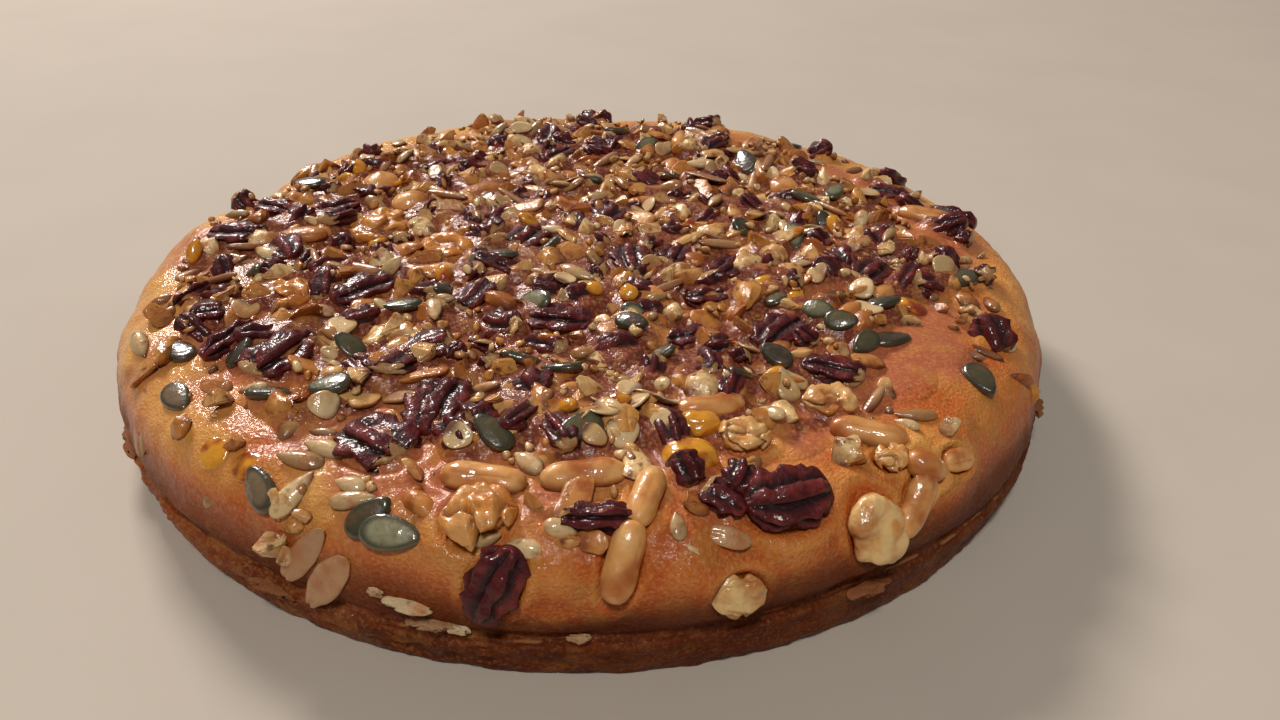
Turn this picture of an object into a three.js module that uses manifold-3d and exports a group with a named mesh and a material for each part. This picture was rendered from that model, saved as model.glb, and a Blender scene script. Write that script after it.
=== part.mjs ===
// A round nut and fruit cake, about 26 cm across: a low sponge out of a ring tin,
// with halved pecans, peanuts, walnut pieces, almonds and candied fruit baked into its top
// and seeds, flakes and chopped nuts between them.
// Millimetres, +Z up. The cake stands on z = 0 and the axis of its tin is the Z axis.

import * as THREE from "three";
import { mergeVertices } from "three/addons/utils/BufferGeometryUtils.js";
import Module from "manifold-3d";

const wasm = await Module();
wasm.setup();

// ---- The crust ----
const BASE_RADIUS = 128.6; // foot of the side
const BASE_ROUND = 1.4; // small round at the foot
const BAND_RADIUS = 130.0; // the lower band widens to this under the crease
const SEAM_HEIGHT = 11; // crease round the side, where the batter swelled over its own foot
const SEAM_DEPTH = 1; // how far the crease cuts in
const SEAM_WAVE = 1.1; // how far the crease wanders up and down
const BULGE_RADIUS = 129.6; // widest ring
const BULGE_HEIGHT = 16.5;
const SHOULDER_HEIGHT = 33.8; // where the side has turned into the top
const SHOULDER_WIDTH = 15;
const SHOULDER_POWER = 2.2; // 2 is a round shoulder, more is squarer
const CROWN_RISE = 3.6; // how much higher the middle is than the shoulder
const CRUST_SIDES = 56;
const SHOULDER_STEPS = 4;
const CROWN_STEPS = 5;

// Where the batter rose between the nuts or stayed low (x, y, height, spread).
const PUFFS = [
  [-4, -121, 1.6, 13],
  [24, -121, 2.0, 14],
  [52, -119, 1.4, 12],
  [88, -62, 1.4, 20],
  [104, -24, 1.2, 14],
  [98, 8, 1.4, 18],
  [-114, 44, -4.5, 20],
  [-112, -52, 1.2, 18],
  [-78, -98, 1.2, 16],
  [30, 108, 1.6, 22],
  [-34, 106, 1.6, 22],
  [88, 72, 1.6, 22],
];
const RIPPLE_SIZE = 21; // spacing of the shallow unevenness all over
const RIPPLE_RISE = 0.7;

// ---- The large toppings: x, y, heading in degrees, length, and width where it isn't the usual one ----
const PECANS = [
  [-102, -3, -8, 19],
  [-84, -61, 62, 17, 6.5],
  [-70, -68, 62, 22],
  [-29, -87, 80, 20],
  [-39, -99, -35, 19, 14],
  [-57, -37, 40, 18],
  [-18, -6, 70, 17],
  [-5.5, -50, -5, 17.5],
  [-48, -74, -50, 14],
  [12, -16, 95, 16],
  [24, -14, 75, 14],
  [38, -20, 60, 14],
  [27, -57, 10, 14],
  [49, -53, 50, 17],
  [61, -70, -18, 17, 8.5],
  [33, -36, 15, 14],
  [78, -20, 55, 16],
  [45, -112, 20, 19],
  [8, -120, 2, 19, 5.5],
  [-11, -127.5, 75, 17, 9.5],
  [66, -6, 15, 13],
  [96, 44, -15, 15],
  [39, 68, 5, 17],
  [-15, 66, 60, 15],
  [-54, 52, 35, 16],
  [-98, 18, -30, 15],
  [-79, 15, 40, 16],
];
const PEANUTS = [
  [-15.5, -110.5, -8, 18],
  [4.5, -109, 12, 18],
  [17, -115, 78, 16],
  [13, -125, 84, 17, 9],
  [31, -85.5, 14, 16],
  [65, -91, -12, 17],
  [73, -104, 92, 16],
  [83.5, -93, 25, 9, 6.5],
  [28, 85, 80, 15],
  [54, 84, 65, 15],
  [104, 23, -25, 19],
  [-41, -27, 12, 14],
];
const HAZELNUTS = [
  [-70.5, 39, 60, 13],
  [-57, 21, 30, 12],
  [75.5, -98, -20, 9.5],
  [61, 42, 80, 12.5],
];
const WALNUTS = [
  [64, -110.5, -50, 16],
  [-15, -119.5, 10, 15],
  [-77, -38, -30, 15],
  [-40, -12, -20, 17],
  [-44, -61, 10, 15],
  [-62, 3, 60, 20],
  [-23, 50, -60, 17],
  [37.8, -94.5, -15, 11.5],
  [35, -124.4, 20, 11],
  [58, -81.5, 0, 12.5],
  [69, -97, 30, 9],
];
const ALMONDS = [
  [-84, -4, 8, 16],
  [-37, 29, 40, 17],
  [26, -74, -25, 13],
];
const CANDIED = [
  [28, -91, 0, 10],
  [26, -102.5, 0, 12],
];

// Width and height for each unit of length, and the number of facets round and along.
const PECAN_SIZE = { width: 0.62, height: 0.36, sides: 12, rings: 5 };
const PEANUT_SIZE = { width: 0.5, height: 0.42, sides: 8, rings: 6 };
const HAZELNUT_SIZE = { width: 0.88, height: 0.66, sides: 9, rings: 6 };
const WALNUT_SIZE = { width: 0.78, height: 0.5, sides: 8, rings: 6 };
const ALMOND_SIZE = { width: 0.5, height: 0.3, sides: 8, rings: 5 };
const CANDIED_SIZE = { width: 0.9, height: 0.6, sides: 8, rings: 5 };
const PEANUT_WAIST = 0.14;
const PECAN_GROOVE = 0.13;
const WALNUT_LUMP = 0.2;
const NUT_LIFT = 0.16; // how far a nut's middle stands over the crust, in its own heights
const GAP = 0.4; // left between a nut and what it lies on

// ---- The small toppings, which are part of the crust: x, y, heading in degrees ----
const PUMPKIN_SEEDS = [
  [-96, -63, -35],
  [-45, -48, 5],
  [-35, -39, 62],
  [-12, -71, 5],
  [-3, -75, -10],
  [-15, -99, -35],
  [-37, -117.5, 40],
  [-32, -122.5, -10],
  [-54, -111, 50],
  [-67, -84, -10],
  [-89, -28, -50],
  [95, -69, -70],
  [77, -54, 10],
  [66, -34, 50],
  [38, -74, 60],
  [66, 27, -20],
  [76, 32, 60],
  [104, -20, 40],
  [-92, 33, 0],
  [5, 88, 20],
  [-89, -81, -50],
  [-63, -112, -70],
];
// Broad slices of nut lying on the shoulder.
const SLICES = [
  [-47, -120, 60],
  [-99, -79, 75],
];
// Torn flakes of crust along the crease: angle round the side in degrees, height, length.
const CRUST_FLAKES = [
  [-149, 10, 17],
  [-101, 13, 12],
  [-118, 9, 14],
  [-60, 11, 12],
  [-20, 12, 10],
  [75, 11, 14],
  [160, 11, 12],
];
const PUMPKIN_SEED = { length: 12, width: 6.8, height: 2.6, sides: 6, rings: 5 };
const KERNEL = { length: 8.5, width: 3.6, height: 2.4, sides: 5, rings: 4 };
const FLAKE = { length: 8, width: 6.4, height: 1.4, sides: 6, rings: 4 };
const CHIP = { length: 6, width: 4.4, height: 3.2, sides: 5, rings: 4 };
const SLICE = { length: 19, width: 10.5, height: 3, sides: 7, rings: 5 };
const CRUST_FLAKE = { width: 5, height: 2, sides: 5, rings: 4 };
const SCATTER_RADIUS = 117; // the outermost small topping
const SCATTER_COUNT = 64;
const SCATTER_SEED = 26;
const SCATTER_CLEARANCE = 0.9; // kept between a small topping and a nut
const SMALL_LIFT = 0.12; // how far its middle stands over the crust, in its own heights
const TURN = Math.PI * (3 - Math.sqrt(5)); // from one scattered topping to the next

/** A repeatable source of numbers from 0 to 1. */
function seededRandom(seed) {
  let state = seed;
  return () => {
    state = (state * 1664525 + 1013904223) % 4294967296;
    return state / 4294967296;
  };
}

/** A smooth, uneven field between about -1 and 1. */
function ripple(x, y, z, size) {
  const a = Math.sin(x / size + 1.7 * Math.sin(y / size / 1.3));
  const b = Math.sin(y / size / 0.8 + 1.4 * Math.sin(z / size + 0.6));
  const c = Math.sin(z / size / 0.9 + 1.6 * Math.sin(x / size / 1.6 + 1.1));
  return (a + b + c) / 3;
}

/** How far the baked surface stands out from its plain form over a point of the plan. */
function puffRise(x, y) {
  let rise = RIPPLE_RISE * ripple(x, y, 40, RIPPLE_SIZE);
  for (const [px, py, height, spread] of PUFFS) {
    rise += height * Math.exp(-((x - px) ** 2 + (y - py) ** 2) / spread ** 2);
  }
  return rise;
}

/** Height of the plain form and its outward normal (radial, up) at a radius of the top or shoulder. */
function plainCrust(radius) {
  const inner = BULGE_RADIUS - SHOULDER_WIDTH;
  if (radius <= inner) {
    const height = SHOULDER_HEIGHT + CROWN_RISE * (1 - (radius / inner) ** 2);
    return { height, normal: [(2 * CROWN_RISE * radius) / inner ** 2, 1] };
  }
  const across = Math.min((radius - inner) / SHOULDER_WIDTH, 1);
  const drop = SHOULDER_HEIGHT - BULGE_HEIGHT;
  const up = (1 - across ** SHOULDER_POWER) ** (1 / SHOULDER_POWER);
  const normal = [
    across ** (SHOULDER_POWER - 1) / SHOULDER_WIDTH,
    up ** (SHOULDER_POWER - 1) / drop,
  ];
  return { height: BULGE_HEIGHT + drop * up, normal };
}

/** A point of the baked surface over the plan, and its normal. */
function crustPoint(x, y) {
  const radius = Math.max(Math.hypot(x, y), 1e-6);
  const plain = plainCrust(radius);
  const normal = new THREE.Vector3(
    (plain.normal[0] * x) / radius,
    (plain.normal[0] * y) / radius,
    plain.normal[1],
  ).normalize();
  const point = new THREE.Vector3(x, y, plain.height);
  point.addScaledVector(normal, puffRise(x, y));
  return { point, normal };
}

/** The crust's outline from the middle of its base up the side, as (radius, height). */
function sideOutline() {
  const outline = [new THREE.Vector2(0, 0)];
  outline.push(new THREE.Vector2(BASE_RADIUS - BASE_ROUND, 0));
  outline.push(new THREE.Vector2(BASE_RADIUS, BASE_ROUND));
  outline.push(new THREE.Vector2(BAND_RADIUS, SEAM_HEIGHT - 1.6));
  outline.push(new THREE.Vector2(BAND_RADIUS - SEAM_DEPTH, SEAM_HEIGHT));
  outline.push(new THREE.Vector2(BULGE_RADIUS - 0.9, SEAM_HEIGHT + 1.2));
  return outline;
}

/** The same outline with the shoulder and the crown added, up to the middle of the top. */
function wholeOutline() {
  const outline = sideOutline();
  for (let step = 0; step <= SHOULDER_STEPS; step += 1) {
    const turn = (step / SHOULDER_STEPS) * (Math.PI / 2);
    const across = Math.cos(turn) ** (2 / SHOULDER_POWER);
    const radius = BULGE_RADIUS - SHOULDER_WIDTH + SHOULDER_WIDTH * across;
    outline.push(new THREE.Vector2(radius, plainCrust(radius).height));
  }
  const inner = BULGE_RADIUS - SHOULDER_WIDTH;
  for (let step = CROWN_STEPS - 1; step >= 0; step -= 1) {
    const radius = (inner * step) / CROWN_STEPS;
    outline.push(new THREE.Vector2(radius, plainCrust(radius).height));
  }
  return outline;
}

/** Moves a point of the plain side or top to where the baked surface is. */
function bake(point) {
  const angle = Math.atan2(point.y, point.x);
  if (point.z < BULGE_HEIGHT) {
    const share = THREE.MathUtils.smoothstep(point.z, BASE_ROUND, SEAM_HEIGHT);
    const wave = Math.sin(5 * angle + 0.8) + 0.6 * Math.sin(11 * angle);
    point.z += (SEAM_WAVE * share * wave) / 1.6;
    const swell = 1 + (0.006 * share * (Math.sin(3 * angle + 2) + Math.sin(7 * angle))) / 2;
    point.x *= swell;
    point.y *= swell;
    return point;
  }
  return crustPoint(point.x, point.y).point;
}

/** A solid from a closed three.js geometry. */
function toSolid(geometry) {
  const bare = geometry.index ? geometry.toNonIndexed() : geometry.clone();
  bare.deleteAttribute("normal");
  bare.deleteAttribute("uv");
  const merged = mergeVertices(bare, 1e-4);
  const corners = merged.index.array;
  const kept = [];
  for (let i = 0; i < corners.length; i += 3) {
    const [a, b, c] = corners.slice(i, i + 3);
    if (a !== b && b !== c && c !== a) {
      kept.push(a, b, c);
    }
  }
  const vertProperties = new Float32Array(merged.attributes.position.array);
  const triVerts = new Uint32Array(kept);
  return new wasm.Manifold(new wasm.Mesh({ numProp: 3, vertProperties, triVerts }));
}

/** A three.js geometry from a solid. */
function toGeometry(solid) {
  const mesh = solid.getMesh();
  const geometry = new THREE.BufferGeometry();
  geometry.setAttribute("position", new THREE.BufferAttribute(mesh.vertProperties, 3));
  geometry.setIndex(new THREE.BufferAttribute(mesh.triVerts, 1));
  geometry.computeVertexNormals();
  return geometry;
}

/** The largest body of a solid, without loose scraps. */
function largestBody(solid) {
  const bodies = solid.decompose();
  bodies.sort((a, b) => b.volume() - a.volume());
  return bodies[0];
}

/** The bare crust, with no toppings. */
function bareCrust() {
  const geometry = new THREE.LatheGeometry(wholeOutline(), CRUST_SIDES);
  geometry.rotateX(Math.PI / 2);
  const position = geometry.attributes.position;
  const point = new THREE.Vector3();
  for (let i = 0; i < position.count; i += 1) {
    point.fromBufferAttribute(position, i);
    if (point.z > 1e-3) {
      point.copy(bake(point));
    }
    position.setXYZ(i, point.x, point.y, point.z);
  }
  return toSolid(geometry);
}

/** A closed kernel round the X axis. shape(along, angle) scales the radius; along runs from -1 to 1. */
function kernel(length, width, height, sides, rings, shape) {
  const geometry = new THREE.SphereGeometry(1, sides, rings);
  geometry.rotateZ(-Math.PI / 2);
  const position = geometry.attributes.position;
  for (let i = 0; i < position.count; i += 1) {
    const along = position.getX(i);
    const angle = Math.atan2(position.getZ(i), position.getY(i));
    const scale = shape(along, angle);
    position.setXYZ(
      i,
      (along * length) / 2,
      (position.getY(i) * scale * width) / 2,
      (position.getZ(i) * scale * height) / 2,
    );
  }
  return geometry;
}

/** Half a pecan: a blunt oval with lengthwise grooves. */
function pecanShape(along, angle) {
  return (1 + PECAN_GROOVE * Math.cos(6 * angle)) * (1 + 0.12 * along ** 2);
}

/** A peanut with a slight waist. */
function peanutShape(along) {
  return 1 - PEANUT_WAIST * Math.exp(-((along / 0.4) ** 2));
}

/** A round nut, a little wider at one end. */
function hazelnutShape(along) {
  return 1 + 0.06 * along;
}

/** A knobbly piece of walnut. */
function walnutShape(along, angle) {
  return 1 + WALNUT_LUMP * ripple(9 * along, 5 * Math.cos(angle), 5 * Math.sin(angle), 1.4);
}

/** An almond or a pumpkin seed, pointed at one end. */
function teardropShape(along) {
  return 1 - 0.24 * along;
}

/** A soft lump of candied fruit. */
function candiedShape(along, angle) {
  return 1 + 0.12 * ripple(6 * along, 4 * Math.cos(angle), 4 * Math.sin(angle), 2);
}

/** A plain oval. */
function ovalShape() {
  return 1;
}

/** The place of a topping on the crust: its middle lifted off the surface, its X axis along the heading. */
function lyingAt(x, y, heading, lift) {
  const { point, normal } = crustPoint(x, y);
  const turn = THREE.MathUtils.degToRad(heading);
  const along = new THREE.Vector3(Math.cos(turn), Math.sin(turn), 0);
  along.addScaledVector(normal, -along.dot(normal)).normalize();
  const across = new THREE.Vector3().crossVectors(normal, along);
  const matrix = new THREE.Matrix4().makeBasis(along, across, normal);
  return matrix.setPosition(point.addScaledVector(normal, lift));
}

/** A solid moved outwards by about a gap, as one that others are cut by. */
function grown(geometry, gap) {
  geometry.computeBoundingBox();
  const size = geometry.boundingBox.getSize(new THREE.Vector3());
  const larger = geometry.clone();
  larger.scale(1 + (2 * gap) / size.x, 1 + (2 * gap) / size.y, 1 + (2 * gap) / size.z);
  return larger;
}

/** The crust raised by the gap, which a nut is cut by so that it stays clear. */
function raisedCrust(crust) {
  const geometry = toGeometry(crust);
  const share = 1 + GAP / BULGE_RADIUS;
  geometry.scale(share, share, 1);
  geometry.translate(0, 0, GAP);
  return toSolid(geometry);
}

/** One nut laid on the crust and cut to what it lies on. Returns its mesh and its grown outline. */
function nutMesh(name, material, geometry, place, cutters) {
  let solid = toSolid(geometry.clone().applyMatrix4(place));
  for (const cutter of cutters) {
    solid = solid.subtract(cutter);
  }
  const mesh = new THREE.Mesh(toGeometry(largestBody(solid)), material);
  mesh.name = name;
  mesh.geometry.applyMatrix4(place.clone().invert());
  place.decompose(mesh.position, mesh.quaternion, mesh.scale);
  return { mesh, outline: toSolid(grown(geometry, GAP).applyMatrix4(place)) };
}

function material(color, roughness) {
  return new THREE.MeshStandardMaterial({ color, roughness, metalness: 0 });
}

/** All large toppings, each its own mesh, and the grown outlines of all of them. */
function largeToppings(crust) {
  const kinds = [
    { name: "pecan", places: PECANS, size: PECAN_SIZE, shape: pecanShape, color: 0x4a1a1c },
    { name: "peanut", places: PEANUTS, size: PEANUT_SIZE, shape: peanutShape, color: 0xc98b4a },
    { name: "hazelnut", places: HAZELNUTS, size: HAZELNUT_SIZE, shape: hazelnutShape, color: 0xd0a060 },
    { name: "walnut", places: WALNUTS, size: WALNUT_SIZE, shape: walnutShape, color: 0xd9b06a },
    { name: "almond", places: ALMONDS, size: ALMOND_SIZE, shape: teardropShape, color: 0xb9733c },
    { name: "candied", places: CANDIED, size: CANDIED_SIZE, shape: candiedShape, color: 0xc8681c },
  ];
  const raised = raisedCrust(crust);
  const meshes = [];
  const outlines = [];
  for (const { name, places, size, shape, color } of kinds) {
    const finish = material(color, 0.35);
    places.forEach(([x, y, heading, length, width = size.width * length], index) => {
      const height = size.height * length;
      const geometry = kernel(length, width, height, size.sides, size.rings, shape);
      const place = lyingAt(x, y, heading, NUT_LIFT * height);
      const label = `${name}_${String(index + 1).padStart(2, "0")}`;
      const nut = nutMesh(label, finish, geometry, place, [raised, ...outlines]);
      meshes.push(nut.mesh);
      outlines.push(nut.outline);
    });
  }
  return { meshes, outlines };
}

/** Whether a solid meets any of the others. */
function meets(solid, others) {
  return others.some((other) => !solid.intersect(other).isEmpty());
}

/** A small topping of one kind, ready to be laid on the crust. */
function small({ length, width, height, sides, rings }, shape) {
  return kernel(length, width, height, sides, rings, shape);
}

/** The small toppings with their places: seeds and slices, then kernels, flakes and chips in a spiral. */
function smallToppings() {
  const toppings = [];
  for (const [x, y, heading] of PUMPKIN_SEEDS) {
    toppings.push({ x, y, heading, geometry: small(PUMPKIN_SEED, teardropShape) });
  }
  for (const [x, y, heading] of SLICES) {
    toppings.push({ x, y, heading, geometry: small(SLICE, teardropShape) });
  }
  const random = seededRandom(SCATTER_SEED);
  const kinds = [KERNEL, CHIP, FLAKE, CHIP, KERNEL];
  for (let index = 0; index < SCATTER_COUNT; index += 1) {
    const radius = SCATTER_RADIUS * Math.sqrt((index + random()) / SCATTER_COUNT);
    const angle = index * TURN + 0.3 * random();
    toppings.push({
      x: radius * Math.cos(angle),
      y: radius * Math.sin(angle),
      heading: 180 * random(),
      geometry: small(kinds[index % kinds.length], ovalShape),
    });
  }
  return toppings;
}

/** The flakes of crust along the crease, each reaching out of the side. */
function creaseFlakes() {
  return CRUST_FLAKES.map(([angle, height, length]) => {
    const flake = small({ ...CRUST_FLAKE, length }, ovalShape);
    flake.translate(0, -BAND_RADIUS, height);
    flake.rotateZ(THREE.MathUtils.degToRad(angle + 90));
    return toSolid(flake);
  });
}

/** The crust with the small toppings fused on, none of them meeting a nut. */
function toppedCrust(crust, nutOutlines) {
  let topped = crust;
  for (const { x, y, heading, geometry } of smallToppings()) {
    geometry.computeBoundingBox();
    const height = geometry.boundingBox.max.z - geometry.boundingBox.min.z;
    const place = lyingAt(x, y, heading, SMALL_LIFT * height);
    const room = toSolid(grown(geometry, SCATTER_CLEARANCE).applyMatrix4(place));
    if (!meets(room, nutOutlines)) {
      topped = topped.add(toSolid(geometry.applyMatrix4(place)));
    }
  }
  for (const flake of creaseFlakes()) {
    topped = topped.add(flake);
  }
  return largestBody(topped);
}

/** The whole cake. */
function fruitCake() {
  const cake = new THREE.Group();
  const crust = bareCrust();
  const { meshes, outlines } = largeToppings(crust);
  const body = new THREE.Mesh(toGeometry(toppedCrust(crust, outlines)), material(0xb06a2c, 0.5));
  body.name = "cake";
  cake.add(body, ...meshes);
  return cake;
}

export default fruitCake();
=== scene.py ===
"""A round nut and fruit cake: a low sponge out of a ring tin, its top covered with glazed nuts,
seeds and candied fruit. Sizes are in millimetres until a mesh is made, and meshes are in metres."""

import math

import bmesh
import bpy
import numpy as np
from mathutils import Matrix


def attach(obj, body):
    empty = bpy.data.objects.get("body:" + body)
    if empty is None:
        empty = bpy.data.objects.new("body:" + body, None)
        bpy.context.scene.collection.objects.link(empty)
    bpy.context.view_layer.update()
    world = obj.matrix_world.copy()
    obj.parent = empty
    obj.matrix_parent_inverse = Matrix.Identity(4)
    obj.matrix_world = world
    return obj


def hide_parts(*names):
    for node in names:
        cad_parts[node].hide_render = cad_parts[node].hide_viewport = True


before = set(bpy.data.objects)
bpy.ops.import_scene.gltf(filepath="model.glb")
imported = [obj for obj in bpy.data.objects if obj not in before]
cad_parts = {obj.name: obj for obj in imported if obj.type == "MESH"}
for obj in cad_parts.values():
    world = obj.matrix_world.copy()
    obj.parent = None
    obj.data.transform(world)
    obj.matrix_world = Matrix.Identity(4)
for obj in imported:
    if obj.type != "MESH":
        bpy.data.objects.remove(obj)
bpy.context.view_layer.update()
MM = 0.001

# ---------------------------------------------------------------------------------------------
# The crust. A sponge batter that rose over its own foot in a ring tin: a low band under a
# crease, a bulge over it, a round shoulder and a nearly flat top. Its skin is golden where it
# stayed thin, brown where it puffed up, and sticky red-brown where the honey glaze ran.
# ---------------------------------------------------------------------------------------------
CAKE_RADIUS = 130  # in round numbers, for lengths that are measured round the cake
BULGE_RADIUS = 129.6
BULGE_HEIGHT = 16.5
SHOULDER_HEIGHT = 33.8
SHOULDER_WIDTH = 15.0
SHOULDER_POWER = 2.2  # 2 would be a round shoulder, and more is squarer
CROWN_RISE = 3.6
INNER_RADIUS = BULGE_RADIUS - SHOULDER_WIDTH
SEAM_HEIGHT = 11.0  # the crease between the band and the bulge
SEAM_WAVE = 1.1
RIPPLE_SIZE = 21.0
RIPPLE_RISE = 0.7
# Where the whole crust puffed up, or sank in: x, y, height and spread.
PUFFS = (
    (-4, -121, 1.6, 13), (24, -121, 2.0, 14), (52, -119, 1.4, 12), (88, -62, 1.4, 20), (104, -24, 1.2, 14),
    (98, 8, 1.4, 18), (-114, 44, -4.5, 20), (-112, -52, 1.2, 18), (-78, -98, 1.2, 16), (30, 108, 1.6, 22),
    (-34, 106, 1.6, 22), (88, 72, 1.6, 22),
)
# Small pillows that swelled up between the nuts on the shoulder: x, y, height and spread.
PILLOWS = (
    (1, -127, 2.2, 7.5), (25.5, -125.5, 2.4, 8), (48, -118, 2.0, 8), (77, -88, 1.5, 8), (-20, -123, 1.2, 7),
    (90, -70, 1.8, 9), (84, -96, 1.6, 8),
)
# The side's outline under the bulge, as (radius, height).
SIDE_OUTLINE = (
    (127.2, 0.0), (128.2, 0.25), (128.6, 1.4), (129.3, 4.6), (130.0, 8.6), (130.0, 9.8), (129.3, 10.8),
    (128.6, 11.7), (128.9, 12.9), (129.4, 14.6),
)


def ripple(x, y, z, size):
    """A smooth, uneven field between about -1 and 1."""
    a = np.sin(x / size + 1.7 * np.sin(y / size / 1.3))
    b = np.sin(y / size / 0.8 + 1.4 * np.sin(z / size + 0.6))
    c = np.sin(z / size / 0.9 + 1.6 * np.sin(x / size / 1.6 + 1.1))
    return (a + b + c) / 3


def puff_rise(x, y):
    """How far the baked surface stands out from its plain form over a point of the plan."""
    rise = RIPPLE_RISE * ripple(x, y, 40.0, RIPPLE_SIZE)
    for puff_x, puff_y, height, spread in PUFFS:
        rise = rise + height * np.exp(-((x - puff_x) ** 2 + (y - puff_y) ** 2) / spread**2)
    return rise


def plain_crust(radius):
    """Height and outward normal (out, up) of the plain top and shoulder at a radius."""
    across = np.clip((radius - INNER_RADIUS) / SHOULDER_WIDTH, 0, 0.9999)
    up = (1 - across**SHOULDER_POWER) ** (1 / SHOULDER_POWER)
    drop = SHOULDER_HEIGHT - BULGE_HEIGHT
    crown = SHOULDER_HEIGHT + CROWN_RISE * (1 - (radius / INNER_RADIUS) ** 2)
    on_top = radius <= INNER_RADIUS
    height = np.where(on_top, crown, BULGE_HEIGHT + drop * up)
    out = np.where(on_top, 2 * CROWN_RISE * radius / INNER_RADIUS**2, across**1.2 / SHOULDER_WIDTH)
    rise = np.where(on_top, 1.0, up**1.2 / drop)
    size = np.hypot(out, rise)
    return height, out / size, rise / size


def crust_point(x, y):
    """Points of the baked surface over the plan, and their normals."""
    radius = np.maximum(np.hypot(x, y), 1e-6)
    height, out, rise = plain_crust(radius)
    normal = np.stack([out * x / radius, out * y / radius, rise + 0 * radius], -1)
    point = np.stack([x + 0 * radius, y + 0 * radius, height], -1)
    return point + normal * np.asarray(puff_rise(x, y))[..., None], normal


def smooth_step(value, low, high):
    """From 0 at low to 1 at high, with soft ends."""
    share = np.clip((value - low) / (high - low), 0, 1)
    return share * share * (3 - 2 * share)


def hump(away, spread):
    """From 1 where away is 0 to 0 on both sides of it, about that spread away."""
    return np.exp(-((away / spread) ** 2))


def facing(heading, direction, spread):
    """1 on the side of the cake that faces a direction, and 0 on the others. Both are in radians."""
    return hump(np.cos(heading - direction) - 1, spread)


def corner_value(ix, iy, iz, seed):
    """A repeatable number from -1 to 1 for each corner of a lattice."""
    mask = 0xFFFFFFFF
    n = ((ix * 73856093) ^ (iy * 19349663) ^ (iz * 83492791) ^ (seed * 26544357)) & mask
    n = ((n ^ (n >> 15)) * 0x2C1B3C6D) & mask
    n = ((n ^ (n >> 12)) * 0x297A2D39) & mask
    return (n ^ (n >> 15)) / mask * 2 - 1


def noise(points, size, seed=0, layers=1):
    """Smooth repeatable noise, about -1 to 1, with bumps that many millimetres apart."""
    total = np.zeros(len(points))
    for layer in range(layers):
        at = points * (2**layer / size)
        low = np.floor(at).astype(np.int64)
        part = at - low
        part = part * part * (3 - 2 * part)
        for corner in range(8):
            step = np.array([corner & 1, corner >> 1 & 1, corner >> 2 & 1])
            weight = np.prod(np.where(step, part, 1 - part), axis=1)
            value = corner_value(*(low + step).T, seed + 7 * layer)
            total += weight * value / 2**layer
    return total * 1.3


def foot_point(middle, reach=12.0):
    """The point of the baked surface nearest to a place, and its normal."""
    heading, radius = math.atan2(middle[1], middle[0]), math.hypot(middle[0], middle[1])
    around = radius
    for _ in range(5):
        turns = heading + np.linspace(-1, 1, 21)[:, None] * reach / CAKE_RADIUS
        radii = np.clip(around + np.linspace(-1, 1, 41)[None, :] * reach, 0, 129.5)
        points, normals = crust_point(radii * np.cos(turns), radii * np.sin(turns))
        best = np.unravel_index(np.linalg.norm(points - middle, axis=-1).argmin(), points.shape[:2])
        heading, around = turns[best[0], 0], radii[0, best[1]]
        reach /= 5
    return points[best], normals[best]


NUT_LIFT_RADIUS = 104
NUT_TOP = 5.6  # how far a nut stands out of the crust among the other toppings
MOST_LIFT = 1.5
EDGE_LIFT = 0.3


def nut_seat(node):
    """How a nut lies, read off its solid: its axes on the crust, its length, width and top. Where the
    toppings lie thick, or the crust swelled up, a nut rides a little higher, and lift is by how much."""
    corners = np.array([v.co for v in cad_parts[node].data.vertices]) / MM
    middle = (corners.min(0) + corners.max(0)) / 2
    for _ in range(3):
        origin, normal = foot_point(middle)
        side = np.cross(normal, [0, 1, 0])
        side /= np.linalg.norm(side)
        best = None
        for turn in np.radians(np.arange(0, 180, 3)):
            along = side * math.cos(turn) + np.cross(normal, side) * math.sin(turn)
            across = np.cross(normal, along)
            on_along = (corners - origin) @ along
            on_across = (corners - origin) @ across
            score = np.ptp(on_along) - 0.6 * np.ptp(on_across)
            if best is None or score > best[0]:
                best = (score, along, across, on_along, on_across)
        _, along, across, on_along, on_across = best
        shift = along * (on_along.max() + on_along.min()) / 2
        shift = shift + across * (on_across.max() + on_across.min()) / 2
        middle = origin + shift
    top = ((corners - origin) @ normal).max()
    on_top = math.hypot(origin[0], origin[1]) < NUT_LIFT_RADIUS
    lift = min(max(NUT_TOP - top, 0), MOST_LIFT) if on_top else EDGE_LIFT
    for pillow_x, pillow_y, height, spread in PILLOWS:
        away = math.hypot(origin[0] - pillow_x, origin[1] - pillow_y) / spread
        lift += 0.6 * height * math.exp(-(away**2))
    seat = {"origin": origin, "along": along, "across": across, "normal": normal, "lift": lift}
    return seat | {"length": np.ptp(on_along), "width": np.ptp(on_across), "top": top}


NUT_SEATS = {node: nut_seat(node) for node in sorted(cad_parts) if node != "cake"}
CRUST_COLUMNS = 640
SIDE_ROW = 0.62  # spacing of the rows of points up the side, in the crease, and over the top
CREASE_ROW = 0.3
CREASE_REACH = 2.2
TOP_ROW = 1.1
TOP_RADIUS = 113
MIDDLE_ROW = 3.0  # the toppings hide the middle, so its rows are wide
MIDDLE_RADIUS = 90
OUTLINE_STEP = 0.1
SHOULDER_SOFTNESS = 1.6  # how far the outline's corners are rounded off
SIDE_SOFTNESS = 0.45
SWELL = 1.0  # how far the batter swelled round a nut
SWELL_AWAY = 1.28  # where, in half lengths of the nut from its middle
SWELL_REACH = 0.24
NUT_WELL = 0.8  # how far a nut pressed the batter down under it
LUMPS = 0.55  # relief of the baked skin: on the top, fine all over, round the side, and at the foot
PORES = 0.16
WRINKLES = 0.15
FOOT_LUMPS = 0.25
LIP_RISE = 0.75  # the torn lip that hangs over the crease, and the groove under it
LIP_WIDTH = 0.36
GROOVE_DEPTH = 0.45
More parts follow.
